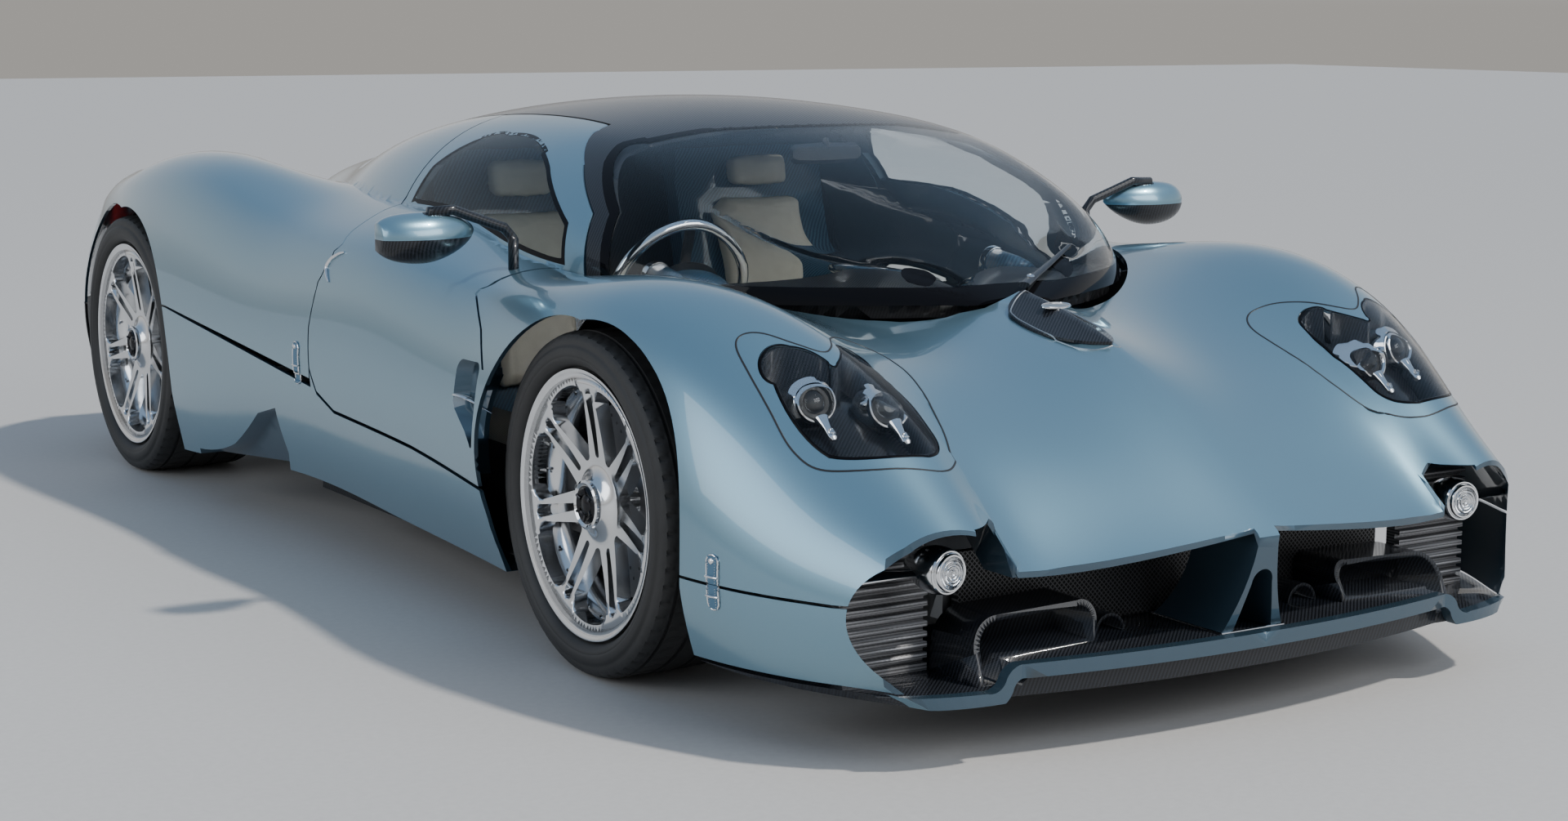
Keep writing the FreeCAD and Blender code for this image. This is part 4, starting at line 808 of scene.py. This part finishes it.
def tyre_piece(end, side, sign):
    """Tyre with a grooved tread, ribbed shoulders and stepped sidewalls."""
    axle, height, rim, width, face, _ = WHEELS[end]
    inner = face - width
    belly = (rim + height) / 2
    lip_out = face - 15
    lip_in = inner + 15
    bead = rim - 11.7
    shoulder = arc_points((face - 40, height - 2), (face - 16, height - 8), (face - 8, height - 26), 13)
    side_wall = arc_points((face - 8, height - 26), (face - 2, belly), (lip_out - 14.5, rim + 3), 22)
    outside = [tuple(p) for p in shoulder if p[0] > face - 15.5] + [tuple(p) for p in side_wall[1:]]
    grooved = []
    for x, r in outside:
        share = (r - rim) / (height - rim)
        step = 1.3 if 0.30 < share < 0.345 or 0.60 < share < 0.66 else 0.0
        grooved.append((x - step, r))
    inside = [(2 * inner + width - x, r) for x, r in outside]
    tread_low = inner + 16
    tread_high = face - 16
    cuts = []
    for share, half in ((0.17, 4.0), (0.39, 5.5), (0.61, 5.5), (0.83, 4.0)):
        middle = inner + width * share
        cuts.append((middle - half, middle + half))
    stations = {tread_low, tread_high, inner + 28, face - 28}
    for a, b in cuts:
        stations |= {a - 0.8, a, b, b + 0.8}
    stations |= {inner + width * k / 16 for k in range(2, 15)
                 if all(abs(inner + width * k / 16 - (a + b) / 2) > 8 for a, b in cuts)}
    tread = []
    for x in sorted(stations):
        reach = abs(x - (inner + width / 2)) / (width / 2 - 16)
        if reach < 0.85:
            radius = height - 2.0 * min(reach, 0.83) ** 2
        else:
            radius = height - 2 - 6 * ((reach - 0.85) / 0.15) ** 1.6
        tread.append((x, radius, any(a - 0.1 <= x <= b + 0.1 for a, b in cuts)))
    count = 360
    rows = []
    base = [(lip_in + 14.5, bead)] + inside[::-1]
    top = grooved + [(lip_out - 14.5, bead)]
    shape = Shape()
    for k in range(count):
        a = 2 * math.pi * k / count
        row = list(base)
        for x, r, cut in tread:
            off_middle = abs((x - inner) / width - 0.5)
            slot_phase = (k + int(round(14 * off_middle))) % 6
            slot = slot_phase == 0 and (off_middle > 0.36 or 0.14 < off_middle < 0.3)
            row.append((x, r - (6.0 if cut else 3.5 if slot else 0.0)))
        row += [(x, r - (1.6 if i < 3 and (k % 6) == 1 else 0.0)) for i, (x, r) in enumerate(top)]
        rows.extend((sign * x, axle + r * math.sin(a), height + r * math.cos(a)) for x, r in row)
    columns = len(rows) // count
    shape.add(rows, grid_faces(count, columns, True, True))
    node = f"tyre_{end}_{side}"
    shape.piece(node + "_road", TYRE, body_of(node), 38.0, node)


def wheel_piece(end, side, sign):
    """The CAD wheel with materials for its disc and cap, and with bolts, black discs painted on the brake
    disc as the shade of its drilled holes, and a centre lock.
    """
    axle, height, rim, width, face, disc_radius = WHEELS[end]
    node = f"wheel_{end}_{side}"
    bm = node_bmesh(node)
    disc_face = face - width * 0.5 - 12
    for face_of in bm.faces:
        place = face_of.calc_center_median() / MM
        radius = math.hypot(place.y - axle, place.z - height)
        across = sign * place.x
        if disc_face - 18 <= across <= disc_face + 18 and radius < disc_radius + 2:
            face_of.material_index = 1
        elif radius < 41 and across > face - 46:
            face_of.material_index = 2
    node_piece(bm, node, "_polished", [RIM, DISC, HUB_DARK], 30.0)
    trim = Shape()
    lip = face - 15
    axis = (sign, 0, 0)
    centre = Vector((0, axle, height))

    def at(across, radius, angle):
        return centre + Vector((sign * across, radius * math.sin(angle), radius * math.cos(angle)))

    trim.turned([(lip - 9, 41), (lip - 5, 46), (lip - 7.5, 51), (lip - 12, 52)], centre, axis, 48, 0)
    cap = [(-8.5, 37), (-4, 33), (-6, 26), (-9, 22), (-4, 15), (-3, 0)]
    trim.turned([(lip + out, radius) for out, radius in cap], centre, axis, 48, 1)
    for k in range(6):
        a = math.pi * k / 3
        trim.tube([at(lip - 7, 22, a), at(lip - 3.5, 35, a)], 3.2, 8, 1)
    for k in range(20):
        a = 2 * math.pi * (k + 0.5) / 20
        trim.turned([(0, 5.2), (3, 4.4), (3.4, 0)], at(disc_face + 5, disc_radius * 0.56, a), axis, 10, 0)
    # Black discs on the brake disc's face: painted shade standing for its drilled holes
    for k in range(24):
        for radius, shift in ((0.70, 0.0), (0.80, 0.33), (0.90, 0.66)):
            a = 2 * math.pi * (k + shift) / 24
            trim.turned([(17.2, 4.0), (17.5, 0)], at(disc_face, disc_radius * radius, a), axis, 8, 2)
    for k in range(28):
        a = 2 * math.pi * (k + 0.5) / 28
        trim.turned([(0, 4.0), (2.5, 3.4), (2.9, 0)], at(lip - 58, rim - 33, a), axis, 8, 0)
    trim.piece(node + "_trim", [CHROME, HUB_DARK, BLACK], body_of(node))


for end in ("front", "rear"):
    for side, sign in SIDES:
        tyre_piece(end, side, sign)
        wheel_piece(end, side, sign)

# Bolts on the brake callipers
for end in ("front", "rear"):
    axle, height, rim, width, face, disc_radius = WHEELS[end]
    disc_face = face - width * 0.5 - 12
    for side, sign in SIDES:
        bolts = Shape()
        for z in (-70, -34, 0, 34, 70):
            place = Vector((sign * (disc_face + 47), axle + disc_radius * 0.86, height + z))
            bolts.turned([(-1, 9), (2, 8.4), (3, 5.5), (1.4, 4.5), (1.4, 0)], place, (sign, 0, 0), 18, 0)
        body = f"knuckle_{side}" if end == "front" else CHASSIS
        bolts.piece(f"calliper_bolts_{end}_{side}", [BRUSHED], body)

# Mirrors: blue above and carbon below, a carbon arm in a chrome ferrule
MIRROR_ARM = [(813, -722.9, 742), (812, -720.9, 858), (835, -720.9, 884), (905, -722.9, 908),
              (960, -726.9, 928), (1020, -726.9, 926)]
MIRROR_GLASS_Y = -686.9


def distance_to_path(point, path):
    nearest = 1e9
    for a, b in zip(path, path[1:]):
        a, b = Vector(a), Vector(b)
        share = min(1.0, max(0.0, (point - a).dot(b - a) / (b - a).length_squared))
        nearest = min(nearest, (a + (b - a) * share - point).length)
    return nearest


for side, sign in SIDES:
    node = f"mirror_{side}"
    bm = node_bmesh(node)
    bmesh.ops.bisect_plane(bm, geom=bm.verts[:] + bm.edges[:] + bm.faces[:], plane_co=(0, 0, 0.868),
                           plane_no=(0, 0, 1))
    for face in bm.faces:
        place = face.calc_center_median() / MM
        place.x *= sign
        if place.x > 896 and abs(place.y - MIRROR_GLASS_Y) < 0.8:
            face.material_index = 3
        elif distance_to_path(place, MIRROR_ARM) < 12.6:
            face.material_index = 1
        elif place.x < 835:
            face.material_index = 2
        else:
            face.material_index = 0 if place.z > 868 else 1
    node_piece(bm, node, "_finished", [BLUE, CARBON, CHROME, MIRROR], 40.0)

# Chrome on the doors: the handle's crescent and the blade across the vent
HANDLE = [(947, -85, 780), (951, -52, 773), (955, -22, 758), (961, -8, 738), (967, -22, 718),
          (971, -38, 706)]
for side, sign in SIDES:
    chrome = Shape()
    spots = [onto(body_surface, sign * x, y, z) for x, y, z in smooth_path(HANDLE, 6)]
    size_along = [2.0 + 3.2 * math.sin(math.pi * i / (len(spots) - 1)) for i in range(len(spots))]
    chrome.tube([place + normal * 2.0 for place, normal in spots], size_along, 12)
    blade = smooth_path([(984, -762, 527), (990, -800, 530), (984, -850, 527), (950, -889, 499)], 6)
    size_along = [2.0 + 7.0 * math.sin(math.pi * (i + 1) / (len(blade) + 1)) for i in range(len(blade))]
    chrome.tube([(sign * x, y, z) for x, y, z in blade], size_along, 12, 0, 0.45)
    chrome.piece(f"door_chrome_{side}", CHROME, body_of(f"door_{side}"))

# Leather straps with buckles over the shut lines of both clamshells
STITCH = plastic("stitch_pale", (0.5, 0.5, 0.48), (0.62, 0.62, 0.6), 0.7)
STRAP = [(-12, 0.5), (-12.5, 3), (-10, 4.6), (10, 4.6), (12.5, 3), (12, 0.5)]


def strap(name, sign, x, y, z, line_z, upper_body):
    """Strap along the body's side, centred at (x, y, z); what is above line_z rides on upper_body."""
    def spots(places):
        return [onto(body_surface, sign * x, y + dy, z + dz) for dy, dz in places]

    rise = line_z - z + 2
    for part, low, high, body in (("low", -50.0, rise - 1.5, CHASSIS), ("high", rise, 50.0, upper_body)):
        shape = Shape()
        shape.laid(spots([(0, dz) for dz in np.linspace(low, high, 12)]), STRAP, 0)
        edge = low if part == "low" else high
        lines = [[(dy * (1 - 0.5 * max(0.0, (abs(dz) - 38) / 14) ** 2), dz)
                  for dz in np.linspace(low, high, 14)] for dy in (-15.5, 15.5)]
        lines.append([(dy, edge + math.copysign(2.5, edge) * (1 - (dy / 8.5) ** 2))
                      for dy in np.linspace(-8.5, 8.5, 8)])
        for line in lines:
            shape.tube([place + normal * 2.2 for place, normal in spots(line)], 2.0, 10, 1)
        for place, normal in spots([(dy, dz) for dz in np.arange(low + 4, high - 3, 5.0)
                                    for dy in (-9.3, 9.3)]):
            shape.turned([(4.2, 0.9), (5.0, 0.7), (5.2, 0)], place, normal, 6, 2)
        bar = -26.0 if part == "low" else min(high - 18, rise + 14)
        bar_spots = spots([(17, bar), (0, bar), (-17, bar)])
        shape.tube([place + normal * up for (place, normal), up in zip(bar_spots, (4.5, 6.6, 4.5))],
                   2.4, 10, 1)
        if part == "high":
            place, normal = spots([(0, 41)])[0]
            shape.turned([(4, 6.5), (7, 5.5), (8.6, 3), (9, 0)], place, normal, 20, 1)
        shape.piece(f"{name}_{part}", [BLUE_LEATHER, CHROME, STITCH], body)


for side, sign in SIDES:
    strap(f"front_strap_{side}", sign, 964, -1843, 313, 308, CLAM)
    strap(f"rear_strap_{side}", sign, 997, 116, 492, 470, TAIL_CLAM)

# Wiper: a carbon arm that widens to its root, a bare boss on it and a rubber blade
wiper = Shape()
ARM = smooth_path([(6, -1512, 778), (70, -1470, 792), (160, -1412, 812), (262, -1345, 838)], 6)
wiper.tube([Vector(p) + Vector((0, 0, 7)) for p in ARM], np.linspace(15, 5, len(ARM)), 14, 0, 0.45)
BLADE = smooth_path([(40, -1478, 780), (160, -1396, 812), (300, -1300, 842)], 6)
blade_spots = [onto(cabin_surface, x, y) for x, y, z in BLADE]
wiper.laid(blade_spots, [(-3, 0.6), (-1, 9), (1, 9), (3, 0.6)], 1)
boss = Vector(ARM[4]) + Vector((0, 0, 14))
wiper.turned([(-2, 10), (0.5, 10), (1.4, 8.6), (0.6, 7.6), (0.6, 0)],
             boss, (0.05, -0.35, 0.93), 24, 2, 0.7)
wiper.piece("wiper_arm", [CARBON, BLACK, CHROME], body_of("wiper"), 35.0, "wiper")

# Cabin: collars on the ducts, an instrument hood, the inner mirror and the steering wheel's finishes
cabin = Shape()
DUCT_Y = along(0.17) + 5
for x in (-450, 60, 150, 520):
    knee = Vector((x, DUCT_Y, 745))
    way = Vector((0, 75, 12)).normalized()
    mouth = knee + Vector((0, 75, 12))
    cabin.turned([(-18, 32.2), (-17, 36), (-2, 37), (3, 35), (3, 30), (-4, 29), (-8, 0)],
                 mouth, way, 36, 0)
    for blade_x in (-18, -6, 6, 18):
        cabin.block((x + blade_x - 1, mouth.y - 3, 733), (x + blade_x + 1, mouth.y + 3, 782), 1)
    for turn in range(5):
        a = math.radians(90 * turn / 4)
        ring_at = knee + Vector((0, 20 * math.sin(a) - 4, 20 * math.cos(a) + 22 * math.sin(a) - 42))
        cabin.turned([(-1, 32.4), (0, 33.2), (1, 32.4)], ring_at, (0, math.sin(a), math.cos(a)), 36, 2)
STEERING_X = -371
hood = [(0, 0), (30, 0.55), (80, 0.85), (130, 1.0), (150, 0.97)]
hood_points = []
for reach, share in hood:
    for k in range(25):
        a = math.pi * k / 24
        hood_points.append((STEERING_X + 118 * share * math.cos(a), -850 + reach,
                            712 + 62 * share * math.sin(a)))
cabin.add(hood_points, grid_faces(len(hood), 25, False, False), 2)
cabin.turned([(0, 84), (3, 84), (3, 0)], (STEERING_X, -735, 738), (0, 1, 0.15), 32, 1, 0.6)
mirror_box = [(-96, 0.55), (-84, 0.95), (0, 1.05), (84, 0.95), (96, 0.55)]
mirror_points = []
for across, share in mirror_box:
    for y, z in ((-16, -14), (-14, 16), (2, 24), (8, 24), (8, -24), (2, -24)):
        mirror_points.append((across, -745 + y * share, 1025 + z * share))
cabin.add(mirror_points, grid_faces(len(mirror_box), 6), 1)
cabin.tube([(0, -755, 1030), (0, -742, 1058)], 8, 12, 1)
cabin.piece("cabin_fittings", [CHROME, BLACK, CARBON_BLUE], CHASSIS)

bm = node_bmesh("steering_wheel")
lean = math.radians(68)
lean_axis = Vector((0, math.sin(lean), math.cos(lean)))
wheel_middle = Vector((STEERING_X, along(0.208), 712))
for face in bm.faces:
    arm = face.calc_center_median() / MM - wheel_middle
    arm -= lean_axis * arm.dot(lean_axis)
    face.material_index = 0 if arm.length > 160 else 1
node_piece(bm, "steering_wheel", "_finished", [CHROME, BLACK_LEATHER], 40.0)

bm = node_bmesh("dashboard")
for face in bm.faces:
    face.material_index = 1 if face.normal.z > 0.5 else 0
node_piece(bm, "dashboard", "_trimmed", [CARBON_BLUE, CREAM], 30.0)

# Seat pads: each left pad is rounded, remeshed, blown up by Cloth and given its seam, then mirrored.
# Sizes in metres: how much smaller the form starts, its corners' round, the voxels, the cap on how
# far a point may move, and the seam's place in from the edge, depth and half width.
PAD_SHRINK, PAD_ROUND, PAD_VOXEL, PAD_CAP = 0.006, 0.022, 0.007, 0.010
SEAM_INSET, SEAM_DEPTH, SEAM_HALF = 0.034, 0.0022, 0.0045
PAD_STEPS = 20


def pad_mesh(low_poly, name):
    """A crowned pad from a plain closed form, as a mesh."""
    obj = bpy.data.objects.new(name, low_poly)
    bpy.context.scene.collection.objects.link(obj)
    start = Vector([sum(v.co[i] for v in low_poly.vertices) / len(low_poly.vertices) for i in range(3)])
    for vert in low_poly.vertices:
        way = vert.co - start
        vert.co = start + way * (1 - PAD_SHRINK / max(way.length, 0.02))
    bevel = obj.modifiers.new("round", "BEVEL")
    bevel.width = PAD_ROUND
    bevel.segments = 4
    bevel.limit_method = "ANGLE"
    bevel.angle_limit = math.radians(25)
    remesh = obj.modifiers.new("remesh", "REMESH")
    remesh.mode = "VOXEL"
    remesh.voxel_size = PAD_VOXEL
    depsgraph = bpy.context.evaluated_depsgraph_get()
    mesh = bpy.data.meshes.new_from_object(obj.evaluated_get(depsgraph))
    obj.modifiers.clear()
    obj.data = mesh
    rest = np.array([v.co for v in mesh.vertices])
    cloth = obj.modifiers.new("cloth", "CLOTH")
    cloth.settings.use_pressure = True
    cloth.settings.uniform_pressure_force = 4.0
    cloth.settings.effector_weights.gravity = 0.0
    cloth.settings.tension_stiffness = 15.0
    cloth.point_cache.frame_start = 1
    cloth.point_cache.frame_end = PAD_STEPS
    for frame_number in range(1, PAD_STEPS + 1):
        bpy.context.scene.frame_set(frame_number)
    evaluated = obj.evaluated_get(bpy.context.evaluated_depsgraph_get())
    moved = np.array([v.co for v in evaluated.data.vertices])
    bpy.context.scene.frame_set(1)
    obj.modifiers.clear()
    shift = moved - rest
    length = np.linalg.norm(shift, axis=1, keepdims=True)
    shift *= np.minimum(1.0, PAD_CAP / np.maximum(length, 1e-9))
    rest = rest + shift
    mesh.vertices.foreach_set("co", rest.ravel())
    bpy.data.objects.remove(obj)
    return mesh


def split_left_solids(node):
    """The separate solids of a node on the car's left side, as meshes."""
    bm = node_bmesh(node)
    seen = set()
    found = []
    for first in bm.verts:
        if first in seen:
            continue
        seen.add(first)
        group = [first]
        for vert in group:
            for edge in vert.link_edges:
                other = edge.other_vert(vert)
                if other not in seen:
                    seen.add(other)
                    group.append(other)
        if sum(v.co.x for v in group) > 0:
            index = {v: i for i, v in enumerate(group)}
            faces = [tuple(index[v] for v in f.verts) for f in bm.faces if f.verts[0] in index]
            mesh = bpy.data.meshes.new(node + "_plain")
            mesh.from_pydata([v.co for v in index], [], faces)
            part = bmesh.new()
            part.from_mesh(mesh)
            bmesh.ops.dissolve_limit(part, angle_limit=math.radians(3), verts=part.verts,
                                     edges=part.edges)
            part.to_mesh(mesh)
            part.free()
            found.append(mesh)
    bm.free()
    return found


def pad_finish(mesh, name, sign):
    """The pad with a sewn seam pressed in round its front, on the left or mirrored to the right."""
    bm = bmesh.new()
    bm.from_mesh(mesh)
    low = Vector([min(v.co[i] for v in bm.verts) for i in range(3)])
    high = Vector([max(v.co[i] for v in bm.verts) for i in range(3)])
    for vert in bm.verts:
        inset = min(vert.co.x - low.x, high.x - vert.co.x)
        if high.z - low.z > 0.05:
            inset = min(inset, high.z - vert.co.z)
        vert.co -= vert.normal * SEAM_DEPTH * math.exp(-((inset - SEAM_INSET) / SEAM_HALF) ** 2)
        vert.co.x *= sign
    if sign < 0:
        bmesh.ops.reverse_faces(bm, faces=bm.faces)
    pad = link(shaded_mesh(bm, name, 80.0), name, CREAM, CHASSIS, "seat_pads")


for order, plain in enumerate(split_left_solids("seat_pads")):
    blown = pad_mesh(plain, f"pad_form_{order}")
    for side, sign in SIDES:
        pad_finish(blown, f"seat_pad_{side}_{order}", sign)


# Stage, light and camera


def plate(name, half, z, material):
    mesh = bpy.data.meshes.new(name)
    corners = [(-half, -half, z), (half, -half, z), (half, half, z), (-half, half, z)]
    mesh.from_pydata(corners, [], [(0, 1, 2, 3)])
    obj = bpy.data.objects.new(name, mesh)
    bpy.context.scene.collection.objects.link(obj)
    mesh.materials.append(material)


plate("floor", 40.0, 0.0, plastic("floor_pale", (0.42, 0.41, 0.4), (0.5, 0.49, 0.475), 0.6, 0.05, 60.0))


def lamp(name, kind, power, colour, place, target):
    """A light at a place that shines at a target."""
    light = bpy.data.lights.new(name, kind)
    light.energy = power
    light.color = colour
    obj = bpy.data.objects.new(name, light)
    obj.location = place
    obj.rotation_euler = (Vector(target) - Vector(place)).to_track_quat("-Z", "Y").to_euler()
    bpy.context.scene.collection.objects.link(obj)
    return light


sun = lamp("sun", "SUN", 3.2, (1.0, 0.96, 0.9), (0, 0, 0), (-0.35, 0.42, -0.84))
sun.angle = math.radians(3.0)
for name, power, colour, place, target, size in (
        ("soft_front", 350.0, (1, 1, 1), (3.0, -9.0, 5.0), (0, -0.5, 0.5), (7, 4)),
        ("soft_side", 260.0, (0.94, 0.97, 1.0), (-9.0, -1.0, 4.0), (0, 0, 0.5), (8, 4))):
    soft = lamp(name, "AREA", power, colour, place, target)
    soft.shape = "RECTANGLE"
    soft.size, soft.size_y = size

world = bpy.data.worlds.new("sky")
world.use_nodes = True
bpy.context.scene.world = world
tree = world.node_tree
background = tree.nodes["Background"]
coordinates, separate, ramp = (tree.nodes.new("ShaderNode" + kind)
                               for kind in ("TexCoord", "SeparateXYZ", "ValToRGB"))
tree.links.new(coordinates.outputs["Generated"], separate.inputs[0])
tree.links.new(separate.outputs[2], ramp.inputs[0])
tree.links.new(ramp.outputs[0], background.inputs[0])
stops = ramp.color_ramp.elements
stops[0].color = (0.5, 0.48, 0.45, 1)
stops[1].position = 0.55
stops[1].color = (0.35, 0.5, 0.72, 1)
stops.new(0.08).color = (0.95, 0.95, 0.95, 1)
background.inputs[1].default_value = 0.75

camera_data = bpy.data.cameras.new("camera")
camera = bpy.data.objects.new("camera", camera_data)
bpy.context.scene.collection.objects.link(camera)
bpy.context.scene.camera = camera
camera_data.sensor_width = 36.0
camera_data.lens = 58.93
camera_data.clip_end = 200.0
camera_place = (-3.354, -5.851, 1.377)
yaw, pitch, roll = (math.radians(a) for a in (32.41, -9.01, 0.27))
ahead = Vector((math.sin(yaw) * math.cos(pitch), math.cos(yaw) * math.cos(pitch), math.sin(pitch)))
level = Vector((math.cos(yaw), -math.sin(yaw), 0.0))
upward = level.cross(ahead)
right = math.cos(roll) * level + math.sin(roll) * upward
upright = -math.sin(roll) * level + math.cos(roll) * upward
turn = Matrix((right, upright, -ahead)).transposed()
camera.matrix_world = Matrix.Translation(camera_place) @ turn.to_4x4()
